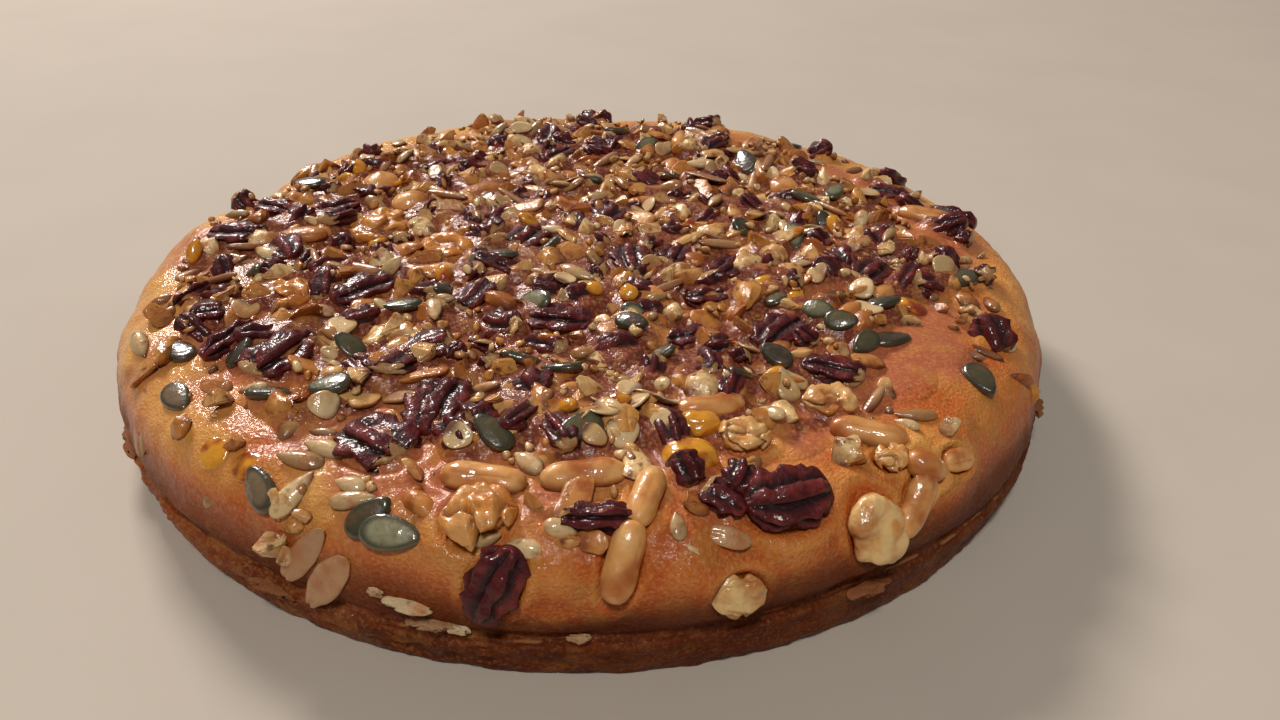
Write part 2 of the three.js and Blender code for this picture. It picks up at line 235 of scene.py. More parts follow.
GROOVE_WIDTH = 0.6
# Directions round the cake in which its skin differs, in radians. On the right front and the right the
# crust is painted darker as shade, and on the left back lighter as painted light.
FRONT = -1.35
LEFT_FRONT = -2.3
TORN_SIDE = -2.2
RIGHT_FRONT = -0.9
RIGHT = -0.6
RIGHT_BACK = 1.1
LEFT_BACK = 2.9
PECAN_HEADING = -1.58  # of the pecan low on the front shoulder


def softened(line, softness, reach):
    """An outline with its corners rounded off, by the mean over so many steps on both sides."""
    weight = np.exp(-((np.arange(-reach, reach + 1) * OUTLINE_STEP / softness) ** 2))
    weight /= weight.sum()
    return np.stack([np.convolve(np.pad(line[:, k], reach, "edge"), weight, "valid") for k in (0, 1)], 1)


def crust_outline():
    """The outline from the foot to near the middle of the top: points and outward normals."""
    side = np.array(SIDE_OUTLINE)
    turn = np.radians(np.linspace(0, 90, 200))
    radius = INNER_RADIUS + SHOULDER_WIDTH * np.cos(turn) ** (2 / SHOULDER_POWER)
    shoulder = np.stack([radius, plain_crust(radius)[0]], 1)
    radius = np.linspace(INNER_RADIUS - 1, 20, 100)
    crown = np.stack([radius, plain_crust(radius)[0]], 1)
    corners = np.concatenate([side, shoulder, crown])
    along = np.concatenate([[0], np.cumsum(np.hypot(*np.diff(corners, axis=0).T))])
    fine = np.arange(0, along[-1], OUTLINE_STEP)
    line = np.stack([np.interp(fine, along, corners[:, k]) for k in (0, 1)], 1)
    share = smooth_step(line[:, 1], 14, 19)[:, None]  # the shoulder is softer than the side
    line = line * (1 - share) + softened(line, SHOULDER_SOFTNESS, 60) * share
    line = softened(line, SIDE_SOFTNESS, 10)
    slope = np.gradient(line, axis=0)
    slope /= np.hypot(*slope.T)[:, None]
    normal = np.stack([slope[:, 1], -slope[:, 0]], 1)
    height, radius = line[:, 1], line[:, 0]
    row = np.where(abs(height - SEAM_HEIGHT) < CREASE_REACH, CREASE_ROW, SIDE_ROW)
    row = np.where(radius < TOP_RADIUS, TOP_ROW, row)
    row = np.where(radius < MIDDLE_RADIUS, MIDDLE_ROW, row)
    passed = np.concatenate([[0], np.cumsum(OUTLINE_STEP / row)])[:-1]
    picks = np.searchsorted(passed, np.arange(0, int(passed[-1])))
    return line[picks], normal[picks]


def crust_surface():
    """The points of the crust's skin, row after row from the foot, how many rows there are, and what varies
    over them: the lip over the crease, how near a swelling is, the height on the outline, and the puffs."""
    line, line_normal = crust_outline()
    angle = np.linspace(0, 2 * math.pi, CRUST_COLUMNS, endpoint=False)[None, :]
    radius, height = line[:, :1], line[:, 1:]
    low = smooth_step(height, 1.4, SEAM_HEIGHT) * (1 - smooth_step(height, 13, 20))
    wave = (np.sin(5 * angle + 0.8) + 0.6 * np.sin(11 * angle)) / 1.6
    swell = 1 + 0.003 * low * (np.sin(3 * angle + 2) + np.sin(7 * angle))
    x = radius * np.cos(angle) * swell
    y = radius * np.sin(angle) * swell
    z = height + SEAM_WAVE * low * wave
    out, up = line_normal[:, :1], line_normal[:, 1:]
    normal = np.stack(np.broadcast_arrays(out * np.cos(angle), out * np.sin(angle), up + 0 * angle), -1)
    rise = puff_rise(x, y) * smooth_step(height, 11.5, 18)
    points = np.stack([x, y, z], -1) + normal * rise[..., None]
    flat = points.reshape(-1, 3)
    skin = normal.reshape(-1, 3)
    around = (angle * CAKE_RADIUS + 0 * height).reshape(-1)
    level = (height + 0 * angle).reshape(-1)
    heading = np.arctan2(flat[:, 1], flat[:, 0])
    top_share = smooth_step(level, 13, 18)
    well = np.zeros(len(flat))
    ring = np.zeros(len(flat))
    for seat in NUT_SEATS.values():
        near = np.flatnonzero(np.abs(flat - seat["origin"]).max(1) < seat["length"] + 6)
        offset = flat[near] - seat["origin"]
        u = offset @ seat["along"] / (seat["length"] / 2)
        v = offset @ seat["across"] / (seat["width"] / 2)
        away = np.hypot(u, v)
        ring[near] = np.maximum(ring[near], hump(away - SWELL_AWAY, SWELL_REACH))
        well[near] = np.maximum(well[near], 1 - smooth_step(away, 0.85, 1.08))
    relief = (SWELL * ring - NUT_WELL * well) * top_share
    relief += LUMPS * noise(flat, 11.0, 3, 2) * top_share
    relief += PORES * noise(flat, 2.4, 5, 2)
    for pillow_x, pillow_y, height, spread in PILLOWS:
        away = np.linalg.norm(flat - crust_point(pillow_x, pillow_y)[0], axis=1)
        swollen = hump(away, spread) * (1 - 0.8 * well)
        relief += height * swollen
        ring = np.maximum(ring, 0.6 * swollen * smooth_step(level, 19, 26))
    # The band under the crease is torn crumb, most of all on one side, with wrinkles that run round it.
    torn = 0.45 - np.abs(noise(flat * [1, 1, 1.8], 7.0, 17, 3))
    ragged = 0.4 + 0.8 * facing(heading, TORN_SIDE, 0.2)
    relief += ragged * torn * (1 - smooth_step(level, 10.5, 15)) * smooth_step(level, 0.8, 3)
    streak = np.stack([around / 14, level / 1.5, 0 * level], 1)
    wrinkle = WRINKLES * noise(streak, 1.0, 8, 2)
    relief += wrinkle * (1 - smooth_step(level, 14, 19)) * smooth_step(level, 0, 2)
    # The lip wanders a little up and down, and comes and goes round the cake.
    circle = np.stack([around, 0 * around, 0 * around], 1)
    lip_at = SEAM_HEIGHT + 0.25 + 0.5 * noise(circle, 16.0, 11)
    lip = hump(level - lip_at, LIP_WIDTH) * smooth_step(noise(circle, 9.0, 12, 2), -0.1, 0.4)
    relief += LIP_RISE * lip - GROOVE_DEPTH * hump(level - lip_at + 1.1, GROOVE_WIDTH)
    lip = lip * smooth_step(noise(flat, 4.0, 19, 2), -0.1, 0.4)
    foot = 1 - smooth_step(level, 0.6, 3.2)
    relief += FOOT_LUMPS * foot * noise(flat, 4.0, 15, 2) * smooth_step(level, 0.05, 0.8)
    flat = flat + skin * relief[:, None]
    flat[:, 2] = np.maximum(flat[:, 2], 0)
    layers = {"lip": lip, "ring": ring, "level": level, "rise": rise.reshape(-1)}
    return flat, len(line), layers


def make_piece(name, points, faces, material, **layers):
    """One smooth shaded mesh of points in millimetres and faces. Each layer has a number for each point."""
    mesh = bpy.data.meshes.new(name)
    mesh.from_pydata((points * MM).tolist(), [], faces)
    mesh.shade_smooth()
    for layer, values in layers.items():
        attribute = mesh.attributes.new(layer, "FLOAT", "POINT")
        attribute.data.foreach_set("value", np.asarray(values, np.float32))
    mesh.materials.append(material)
    piece = bpy.data.objects.new(name, mesh)
    bpy.context.scene.collection.objects.link(piece)
    return piece


def linear(hex_colour):
    """An sRGB hex colour as linear values, with an opaque alpha."""
    parts = [int(hex_colour[i : i + 2], 16) / 255 for i in (1, 3, 5)]
    return [p / 12.92 if p <= 0.04045 else ((p + 0.055) / 1.055) ** 2.4 for p in parts] + [1.0]


def add_node(tree, kind, inputs=None, out=0, **settings):
    """Adds a node with its settings and returns one of its outputs. inputs gives each socket a value or the
    output that is linked to it."""
    node = tree.nodes.new(kind)
    for setting, value in settings.items():
        setattr(node, setting, value)
    for socket, value in (inputs or {}).items():
        if isinstance(value, bpy.types.NodeSocket):
            tree.links.new(value, node.inputs[socket])
        else:
            node.inputs[socket].default_value = value
    return node.outputs[out] if node.outputs else node


def share_of(tree, where, low, high, most=1.0, least=0.0):
    """From least to most, where something rises from low to high: a layer of the mesh if where is its name,
    and else noise with spots that many mm apart."""
    if isinstance(where, str):
        value = add_node(tree, "ShaderNodeAttribute", out="Fac", attribute_name=where)
    else:
        place = add_node(tree, "ShaderNodeTexCoord", out="Object")
        spots = {"Vector": place, "Scale": 1 / (where * MM), "Detail": 3.0}
        value = add_node(tree, "ShaderNodeTexNoise", spots)
    return add_node(tree, "ShaderNodeMapRange", {"Value": value, 1: low, 2: high, 3: least, 4: most})


def new_finish(name, base, stains, grain, film, **inputs):
    """A material of a base colour with stains over it, each given as its colour, where it lies, from and to
    which value, and how much it covers. grain is the skin's relief and film the coat's: size and depth."""
    material = bpy.data.materials.new(name)
    material.use_nodes = True
    tree = material.node_tree
    tree.nodes.clear()
    colour = linear(base)
    for stain, *where in stains:
        mixed = {"Factor": share_of(tree, *where), 6: colour, 7: linear(stain)}
        colour = add_node(tree, "ShaderNodeMix", mixed, 2, data_type="RGBA")
    values = {key.replace("_", " "): value for key, value in inputs.items()} | {"Base Color": colour}
    for socket, (size, depth) in (("Normal", grain), ("Coat Normal", film)):
        relief = {"Height": share_of(tree, size, 0.2, 0.8), "Distance": depth * MM, "Strength": 0.7}
        values[socket] = add_node(tree, "ShaderNodeBump", relief)
    shader = add_node(tree, "ShaderNodeBsdfPrincipled", values)
    add_node(tree, "ShaderNodeOutputMaterial", {"Surface": shader})
    return material


# Baked sponge skin: fine pores and a soft sheen. Golden where it stayed thin, brown where it puffed up and
# under the bulge, red-brown and glossy where the glaze soaked in, and pale along the lip over the crease.
# Painted light and shade lie in it as well: shade on the band, under the bulge, on the right and between
# the toppings, light on the left back and the back of the top, and pale specks for glints.
GOLDEN = "#ecae58"
BROWN = "#c26022"
DEEP_BROWN = "#5a240a"
GLAZED_RED = "#b2613e"
DARK_GLAZE_AND_SHADE = "#6c2c20"
PALE_EDGE = "#a06c3e"
CRUST_STAINS = (
    (BROWN, "browning_and_painted_light", 0.15, 0.75, 1.0),
    (DEEP_BROWN, "browning_and_painted_light", 0.72, 1.15, 0.95),
    (BROWN, 7.0, 0.48, 0.66, 0.4),
    (DEEP_BROWN, 1.6, 0.55, 0.8, 0.15),
    (GLAZED_RED, "glazed", 0.05, 0.8, 0.95),
    # glaze pooled dark in places, and painted shade between the toppings
    (DARK_GLAZE_AND_SHADE, "dark", 0.2, 0.9, 0.9),
    ("#bd7d36", 8.0, 0.53, 0.65, 0.6),
    # pale fine specks: partly the crumb's grain, partly painted glints
    ("#e2a06a", 0.9, 0.47, 0.7, 0.4),
    # partly browning and partly painted shade: the band and the underside of the bulge, darkest on the
    # right front
    ("#5e260a", "under", 0.0, 1.0, 0.85),
    (PALE_EDGE, "lip", 0.25, 0.75, 0.85),
)
crust_finish = new_finish(
    "baked_sponge_crust",
    GOLDEN,
    CRUST_STAINS,
    grain=(0.75, 0.45),
    film=(1.3, 0.4),
    IOR=1.42,
    Specular_IOR_Level=0.15,
    Coat_Roughness=0.08,
    Coat_IOR=1.46,
)
tree = crust_finish.node_tree
shader = tree.nodes["Principled BSDF"]
tree.links.new(share_of(tree, 3.0, 0.3, 0.7, 0.62, 0.4), shader.inputs["Roughness"])
pores = shader.inputs["Normal"].links[0].from_node
tree.links.new(share_of(tree, "glazed", 0.0, 1.0, 0.2, 0.9), pores.inputs["Strength"])
tree.links.new(share_of(tree, "shine", 0.0, 1.0, 0.8, 0.08), shader.inputs["Coat Weight"])


def skin_layers(points, level, rise, ring):
    """How the crust varies over its points: how brown it is, with painted light and shade in that as well,
    how glazed it is, how dark its glaze is, how it shines, and where it is darkest, on the band and under
    the bulge, which is partly painted shade."""
    radius = np.hypot(points[:, 0], points[:, 1])
    heading = np.arctan2(points[:, 1], points[:, 0])
    plan = points * [1, 1, 0]
    reach = 8 * facing(heading, LEFT_FRONT, 0.3)
    reach += 5 * facing(heading, RIGHT_BACK, 0.3)
    glazed = 1 - smooth_step(radius + 8 * noise(plan, 13.0, 21, 2) - reach, 98, 121)
    front = facing(heading, FRONT, 0.1)
    blotch = 0.24 * noise(plan, 16.0, 31, 2) * (0.4 + 0.6 * smooth_step(level, 20, 31))
    over_band = smooth_step(level, 11, 13)
    band = 1 - over_band
    browning_and_painted_light = 0.39 + 0.17 * front + blotch + 0.08 * rise
    browning_and_painted_light += 0.74 * over_band * (1 - smooth_step(level, 19 - 4 * front, 31 - 6 * front))
    # Painted sheen: the back of the top is painted lighter, as if it caught the light.
    browning_and_painted_light -= 0.5 * np.sin(heading) * smooth_step(level, 26, 32) * (np.sin(heading) > 0)
    browning_and_painted_light -= (0.42 - 0.1 * front) * ring
    # The foot and the band are browner; on the band this is partly painted shade, darkest on the right
    # front, away from the light.
    shade = facing(heading, RIGHT_FRONT, 0.5)
    browning_and_painted_light += 0.4 * (1 - smooth_step(level, 0.3, 2.5)) + (0.56 + 0.3 * shade) * band
    # Painted light and shade: the upper left back, which faces the light, is lighter, and the right side is
    # darker.
    browning_and_painted_light -= 0.3 * facing(heading, LEFT_BACK, 0.6) * smooth_step(level, 18, 26)
    browning_and_painted_light += 0.2 * facing(heading, RIGHT, 0.3)
    pooled = noise(plan, 11.0, 61, 3) + 0.45 - 0.9 * smooth_step(radius, 60, 100)
    dark = glazed * smooth_step(pooled, 0.0, 0.7)
    browning_and_painted_light = np.minimum(browning_and_painted_light, 1.2 - 0.42 * smooth_step(level, 14, 20))
    left = facing(heading, LEFT_FRONT, 0.4)
    shine = np.maximum(glazed, (0.35 + 0.5 * left) * smooth_step(level, 17, 25))
    # Where the crust is darkest, under the bulge and on the band: partly browning, partly painted shade.
    high = 1 - 0.9 * hump(heading - PECAN_HEADING, 0.15)  # the dark of the bulge stays low there
    bulge = (1 - band) * (1 - smooth_step(level, 15 + 4.5 * high, 19 + 7.5 * high))
    under = (0.25 + 0.6 * shade) * band + (0.66 + 0.32 * shade) * bulge
    under = under + 0.4 * blotch * (1 - smooth_step(level, 15, 24))
    layers = {"browning_and_painted_light": np.clip(browning_and_painted_light, 0, 1.2), "glazed": glazed, "dark": dark}
    return layers | {"shine": shine, "under": np.clip(under, 0, 1)}


crust_points, crust_rows, crust_layers = crust_surface()
layers = skin_layers(crust_points, crust_layers["level"], crust_layers["rise"], crust_layers["ring"])
layers["lip"] = crust_layers["lip"]
count = len(crust_points)
cap = np.array([[0, 0, crust_points[-CRUST_COLUMNS:, 2].mean()], [0, 0, 0]])
grid = np.arange(count).reshape(crust_rows, CRUST_COLUMNS)
beside = np.roll(grid, -1, axis=1)
quads = np.stack([grid[:-1], beside[:-1], beside[1:], grid[1:]], -1).reshape(-1, 4)
top_fan = np.stack([grid[-1], beside[-1], np.full(CRUST_COLUMNS, count)], -1)
foot_fan = np.stack([beside[0], grid[0], np.full(CRUST_COLUMNS, count + 1)], -1)
crust = make_piece(
    "sponge_crust",
    np.concatenate([crust_points, cap]),
    quads.tolist() + top_fan.tolist() + foot_fan.tolist(),
    crust_finish,
    **{name: np.append(values, [0.5, 0.5]) for name, values in layers.items()},
)
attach(crust, "root")
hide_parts("cake")

# ---------------------------------------------------------------------------------------------
# Torn crust. The foot and the bulge baked onto each other, and where they came apart the skin
# tore and left thin ragged chips standing out along the crease, pale where the crumb shows.
# ---------------------------------------------------------------------------------------------
CHIP_WIDTH = 5.0
CHIP_HEIGHT = 2.0
# Each chip's direction in degrees, height and length, and how much brown skin is left on it.
CHIP_SPOTS = (
    (-149, 10, 17, 1), (-101, 13, 12, 0.7), (-118, 9, 14, 1), (-60, 11, 12, 1), (-20, 12, 10, 1),
    (75, 11, 14, 1), (160, 11, 12, 1), (-103, 17.2, 11, 0), (-98.5, 12.6, 5, 0.1), (-106, 18.6, 4, 0.2),
    (-88, 12.6, 5, 0.5),
)


def ball(columns, rows):
    """Directions over a ball whose poles lie on the X axis, and its faces."""
    turn = np.linspace(0, 2 * math.pi, columns, endpoint=False)
    tilt = np.linspace(0, math.pi, rows + 1)[1:-1, None]
    ring = np.stack([np.cos(tilt) + 0 * turn, np.sin(tilt) * np.cos(turn), np.sin(tilt) * np.sin(turn)], -1)
    points = np.concatenate([ring.reshape(-1, 3), [[1, 0, 0], [-1, 0, 0]]])
    grid = np.arange((rows - 1) * columns).reshape(rows - 1, columns)
    beside = np.roll(grid, -1, axis=1)
    quads = np.stack([grid[:-1], grid[1:], beside[1:], beside[:-1]], -1).reshape(-1, 4)
    first = np.stack([np.full(columns, grid.size), grid[0], beside[0]], -1)
    last = np.stack([np.full(columns, grid.size + 1), beside[-1], grid[-1]], -1)
    return points, quads.tolist() + np.concatenate([first, last]).tolist()


def crust_chip(seed):
    """One thin ragged chip, from -1 to 1 each way."""
    dirs, faces = ball(30, 18)
    outward = np.minimum(np.hypot(dirs[:, 0], dirs[:, 1]), 1)
    place = dirs * [1, 1, 0.2] + 20 * seed
    ragged = 1 - 0.45 * smooth_step(noise(place, 0.35, seed, 2), -0.2, 0.6) * outward
    thick = np.sign(dirs[:, 2]) * (1 - outward**4) ** 0.5 * 0.7 + 0.35 * noise(place, 0.5, seed + 4, 2)
    return np.stack([dirs[:, 0] * ragged, dirs[:, 1] * ragged, thick], 1), faces


torn_finish = new_finish(
    "torn_sponge_crust",  # dull pale crumb with bits of brown skin on it
    "#d9c096",
    ((BROWN, 4.0, 0.5, 0.66, 0.6), ("#8a4a20", "skin", 0.0, 1.0, 0.92), (DEEP_BROWN, 1.6, 0.55, 0.75, 0.5)),
    grain=(0.9, 0.4),
    film=(2.0, 0.3),
    Roughness=0.75,
    IOR=1.42,
    Specular_IOR_Level=0.35,
)
chip_points, chip_faces, chip_skin = [], [], []
for number, (heading, height, length, skin) in enumerate(CHIP_SPOTS):
    shape, faces = crust_chip(number + 1)
    turn = math.radians(heading)
    out = np.array([math.cos(turn), math.sin(turn), 0])
    axes = np.stack([[-math.sin(turn), math.cos(turn), 0], out, [0, 0, 1]])
    start = sum(len(p) for p in chip_points)
    size = np.array([length, min(CHIP_WIDTH, 0.45 * length), CHIP_HEIGHT])
    chip_points.append(out * CAKE_RADIUS + [0, 0, height] + (shape * size / 2) @ axes)
    chip_skin.append(np.full(len(shape), skin))
    chip_faces += [[corner + start for corner in side] for side in faces]
chip_skin = np.concatenate(chip_skin)
chips = make_piece("torn_crust_chips", np.concatenate(chip_points), chip_faces, torn_finish, skin=chip_skin)
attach(chips, "root")
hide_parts("cake")

# ---------------------------------------------------------------------------------------------
# Pecans. Halves and broken halves pressed into the batter: dark red-brown lobes with deep
# grooves between them, wrinkled a little across, all under a shiny coat of glaze.
# ---------------------------------------------------------------------------------------------
PECAN_SKIN = "#501216"
PECAN_DARK = "#240709"
PECAN_RED = "#822c26"
PECAN_INSIDE = "#c59a66"
# The honey glaze lies in amber patches over all toppings, is thicker low down, and tints what is under it.
# The dark low down is partly that glaze and partly painted shade, where a piece meets the crust and on its
# lower side.
GLAZE_PATCH = ("#a9581d", 9.0, 0.52, 0.66, 0.55)
GLAZE_AND_SHADE_LOW = ("#571c0f", "sunk", 0.1, 0.95, 0.9)
NUT_OUT = 0.66  # how much of a nut's height stands out of the batter
NUT_MIDDLE = 0.16  # how far its middle lies over the batter, as a share of its height


def seats_of(*kinds):
    """Each nut of these kinds: its number from 0, its node and its seat."""
    chosen = [(node, seat) for node, seat in NUT_SEATS.items() if node.split("_")[0] in kinds]
    return [(number, node, seat) for number, (node, seat) in enumerate(chosen)]


def nut_height(seat):
    """A nut's whole height, of which about a third is down in the batter."""
    return seat["top"] / NUT_OUT


def seated(seat, shape):
    """A shape from -1 to 1 each way, scaled to a nut's size and moved to where the nut lies."""
    half = np.array([seat["length"], seat["width"], nut_height(seat)]) / 2
    points = shape * half + [0, 0, NUT_MIDDLE * nut_height(seat) + seat["lift"]]
    return seat["origin"] + points @ np.stack([seat["along"], seat["across"], seat["normal"]])


def sunk(points):
    """How near each point is to the crust under it: 1 on it, 0 well clear of it. Glaze and painted shade
    darken the toppings by it.
    """
    under = crust_point(points[:, 0], points[:, 1])[0][:, 2]
    clean = 0.7 * smooth_step(np.hypot(points[:, 0], points[:, 1]), 111, 120)  # little glaze ran down there, and little shade is painted there
    return (1 - smooth_step(points[:, 2] - under, 0.3, 3.2)) * (1 - clean)


def pecan_half(seed, columns=60, rows=36):
    """One pecan half from -1 to 1 each way, how deep in a groove each point is, and where it is broken."""
    dirs, faces = ball(columns, rows)
    along, turn = dirs[:, 0], np.arctan2(dirs[:, 2], dirs[:, 1])
    place = dirs * 10 + 40 * seed
    wander = 0.2 * noise(np.stack([along * 5 + 9 * seed, 0 * along, 0 * along], 1), 3.0, seed)
    lobe = abs(np.sin(3 * turn + wander + 0.5 * math.sin(4 * seed + 1))) ** 0.75
    groove = (1 - lobe) * smooth_step(1.02 - abs(along), 0, 0.25)
    wrinkle = noise(np.stack([along * 7, turn * 1.1, 0 * turn + seed], 1), 1.0, seed + 3, 2)
    ridge = np.round(turn * 3 / math.pi)
    cross = np.sin(along * 9 + 2 * ridge + seed) * (1 - groove)
    size = 1.04 - 0.52 * groove + 0.09 * wrinkle + 0.12 * cross
    size = size + 0.09 * noise(place, 9.0, seed + 6, 2) + 0.1 * along**2
    cut = along + 0.3 * math.sin(3 * seed) * dirs[:, 1] + 0.12 * noise(place, 3.0, seed + 9)
    broken = smooth_step(cut, 0.62, 0.66) if seed % 2 == 0 else 0 * along
    reach = np.sign(along) * abs(along) ** 0.8 * (1 - 0.2 * broken)
    bend = 0.14 * math.sin(2 * seed + 1) * (along**2 - 0.4)
    return np.stack([reach, dirs[:, 1] * size + bend, dirs[:, 2] * size], 1), faces, groove, broken


pecan_finish = new_finish(
    "glazed_pecan",  # dark skin under a clear sticky coat, so it gives small sharp lights
    PECAN_SKIN,
    (
        (PECAN_RED, 5.0, 0.5, 0.68, 0.8),
        (PECAN_DARK, "groove", 0.2, 0.65, 1.0),
        (PECAN_INSIDE, "broken", 0.1, 0.9, 0.75),
        GLAZE_AND_SHADE_LOW,
    ),
    grain=(1.3, 0.45),
    film=(2.6, 0.45),
    Roughness=0.5,
    IOR=1.4,
    Specular_IOR_Level=0.25,
    Coat_Weight=0.5,
    Coat_Roughness=0.07,
    Coat_IOR=1.48,
)
for number, node, seat in seats_of("pecan"):
    shape, faces, groove, broken = pecan_half(number)
    points = seated(seat, shape)
    layers = {"groove": groove, "broken": broken, "sunk": sunk(points)}
    pecan = make_piece(f"pecan_half_{number + 1:02d}", points, faces, pecan_finish, **layers)
    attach(pecan, "root")
    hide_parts(node)

# ---------------------------------------------------------------------------------------------
# Peanuts and hazelnuts. Whole and halved kernels without their skins, roasted tan with darker
# toasted patches, smooth and shiny with glaze. A peanut has a faint seam down its length.
# ---------------------------------------------------------------------------------------------
PEANUT_TAN = "#e4ae6c"
PEANUT_TOASTED = "#ba753a"
PEANUT_PALE = "#efc78a"
PEANUT_WAIST = 0.12  # how much slimmer it is at its middle
HONEY_GLAZE = {"Coat_Weight": 0.8, "Coat_Roughness": 0.07, "Coat_IOR": 1.48, "Coat_Tint": linear("#fdeedb")}
NUT_FLESH = {"Subsurface_Weight": 0.12, "Subsurface_Scale": 1.5 * MM, "Subsurface_Radius": (1.0, 0.5, 0.25)}


def peanut_kernel(seed, waist):
    """One peanut or hazelnut from -1 to 1 each way, and how deep in the seam each point is."""
    dirs, faces = ball(44, 32)
    along, turn = dirs[:, 0], np.arctan2(dirs[:, 2], dirs[:, 1])
    seam_at = math.radians(90 + 30 * math.sin(5 * seed + 1))
    seam = hump(turn - seam_at, 0.07) * smooth_step(0.9 - abs(along), 0, 0.4)
    size = 1 - waist * hump(along, 0.4) - 0.06 * seam
    size = size + 0.07 * noise(dirs * 8 + 30 * seed, 7.0, seed, 2)
    blunt = (1 - abs(along) ** 2.6) ** (1 / 2.6) / np.maximum(np.sqrt(1 - along**2), 1e-3)
    size = size * np.where(abs(along) < 0.999, np.minimum(blunt, 1.5), 1) ** (0.8 if waist else 0.3)
    return np.stack([along, dirs[:, 1] * size, dirs[:, 2] * size], 1), faces, seam


peanut_finish = new_finish(
    "glazed_roasted_peanut",  # smooth tan flesh that lets a little light in, wet with glaze
    PEANUT_TAN,
    (
        (PEANUT_TOASTED, 9.0, 0.42, 0.66, 1.0),
        (PEANUT_PALE, 5.0, 0.55, 0.72, 1.0),
        (PEANUT_TOASTED, "seam", 0.1, 0.9, 0.6),
    )
    + (GLAZE_PATCH, GLAZE_AND_SHADE_LOW),
    grain=(2.2, 0.2),
    film=(3.5, 0.5),
    Roughness=0.42,
    IOR=1.47,
    **HONEY_GLAZE,
    **NUT_FLESH,
)
for number, node, seat in seats_of("peanut", "hazelnut"):
    kind = node.split("_")[0]
    shape, faces, seam = peanut_kernel(number, PEANUT_WAIST if kind == "peanut" else 0.0)
    points = seated(seat, shape)
    layers = {"seam": seam * (kind == "peanut"), "sunk": sunk(points)}
    kernel = make_piece(f"{kind}_kernel_{node[-2:]}", points, faces, peanut_finish, **layers)
    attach(kernel, "root")
    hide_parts(node)

# ---------------------------------------------------------------------------------------------
# Walnuts. Broken pieces of walnut kernel: folded like a small brain, cream inside, with golden
# skin left on the folds, shiny with glaze. Some are toasted darker than others.
# ---------------------------------------------------------------------------------------------
WALNUT_CREAM = "#ecd096"
WALNUT_GOLD = "#cf862c"
WALNUT_BROWN = "#74401c"
# How dark each piece is toasted, and how deep its folds are.
WALNUT_TOAST = (0.05, 0.6, 0.75, 0.8, 0.1, 0.7, 0.15, 0.3, 0.1, 0.3, 0.4)
WALNUT_FOLDS = (0.15, 0.75, 0.46, 0.5, 0.4, 0.46, 0.4, 0.5, 0.25, 0.46, 0.46)


def walnut_piece(seed, depth):
    """One walnut piece from -1 to 1 each way, and how far down in a fold each point is."""
    dirs, faces = ball(60, 42)
    along, angle = dirs[:, 0], np.arctan2(dirs[:, 2], dirs[:, 1])
    lump = ripple(9 * along, 5 * np.cos(angle), 5 * np.sin(angle), 1.4)
    place = dirs * 9 + 50 * seed
    fold = smooth_step(1 - np.abs(noise(place, 6.0, seed, 1)) * 1.7, 0.1, 1.0)
    size = 0.98 + 0.18 * depth + 0.22 * lump - depth * fold + 0.22 * depth * noise(place, 3.0, seed + 5, 2)
    shape = np.stack([along * (1 + 0.06 * fold), dirs[:, 1] * size, dirs[:, 2] * size], 1)
    return shape, faces, fold * min(1, 2 * depth)


walnut_finish = new_finish(
    "glazed_walnut",  # cream flesh and golden skin, wet with glaze
    WALNUT_CREAM,
    (
        (WALNUT_GOLD, 5.0, 0.45, 0.64, 0.9),
        (WALNUT_GOLD, "toast", 0.1, 0.8, 0.9),
        (WALNUT_BROWN, "fold", 0.4, 0.95, 0.75),
    )
    + (GLAZE_PATCH, GLAZE_AND_SHADE_LOW),
    grain=(1.6, 0.35),
    film=(3.0, 0.5),
    Roughness=0.4,
    IOR=1.47,
    **HONEY_GLAZE,
    **NUT_FLESH,
)
for number, node, seat in seats_of("walnut"):
    shape, faces, fold = walnut_piece(number, WALNUT_FOLDS[number])
    points = seated(seat, shape)
    layers = {"fold": fold, "toast": np.full(len(points), WALNUT_TOAST[number]), "sunk": sunk(points)}
    walnut = make_piece(f"walnut_piece_{number + 1:02d}", points, faces, walnut_finish, **layers)
    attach(walnut, "root")
    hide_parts(node)

# ---------------------------------------------------------------------------------------------
# Almonds. Whole roasted kernels in their thin orange-brown skin, which is finely ribbed from
# end to end.
# ---------------------------------------------------------------------------------------------
ALMOND_SKIN = "#b06a35"
ALMOND_RIB = "#7d431e"


def almond_kernel(seed):
    """One almond from -1 to 1 each way, and how deep between its ribs each point is."""
    dirs, faces = ball(56, 36)
    along, turn = dirs[:, 0], np.arctan2(dirs[:, 2], dirs[:, 1])
    rib = 0.5 + 0.5 * np.sin(17 * turn + 2.5 * noise(dirs * 8 + 20 * seed, 5.0, seed))
    size = (1 - 0.24 * along) * (1 - 0.018 * rib)
    size = size * (1 + 0.05 * noise(dirs * 8 + 30 * seed, 5.0, seed)) / 1.03
    return np.stack([along, dirs[:, 1] * size, dirs[:, 2] * size], 1), faces, rib


almond_finish = new_finish(
    "glazed_roasted_almond",  # dull ribbed skin under patchy glaze
    ALMOND_SKIN,
    (("#c98748", 6.0, 0.4, 0.65, 1.0), (ALMOND_RIB, "rib", 0.0, 1.0, 0.45)) + (GLAZE_PATCH, GLAZE_AND_SHADE_LOW),
    grain=(2.0, 0.3),
    film=(3.0, 0.5),
    Roughness=0.45,
    IOR=1.47,
    **HONEY_GLAZE,
)
for number, node, seat in seats_of("almond"):
    shape, faces, rib = almond_kernel(number)
    points = seated(seat, shape)
    layers = {"rib": rib, "sunk": sunk(points)}
    almond = make_piece(f"almond_kernel_{number + 1:02d}", points, faces, almond_finish, **layers)
    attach(almond, "root")
    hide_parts(node)

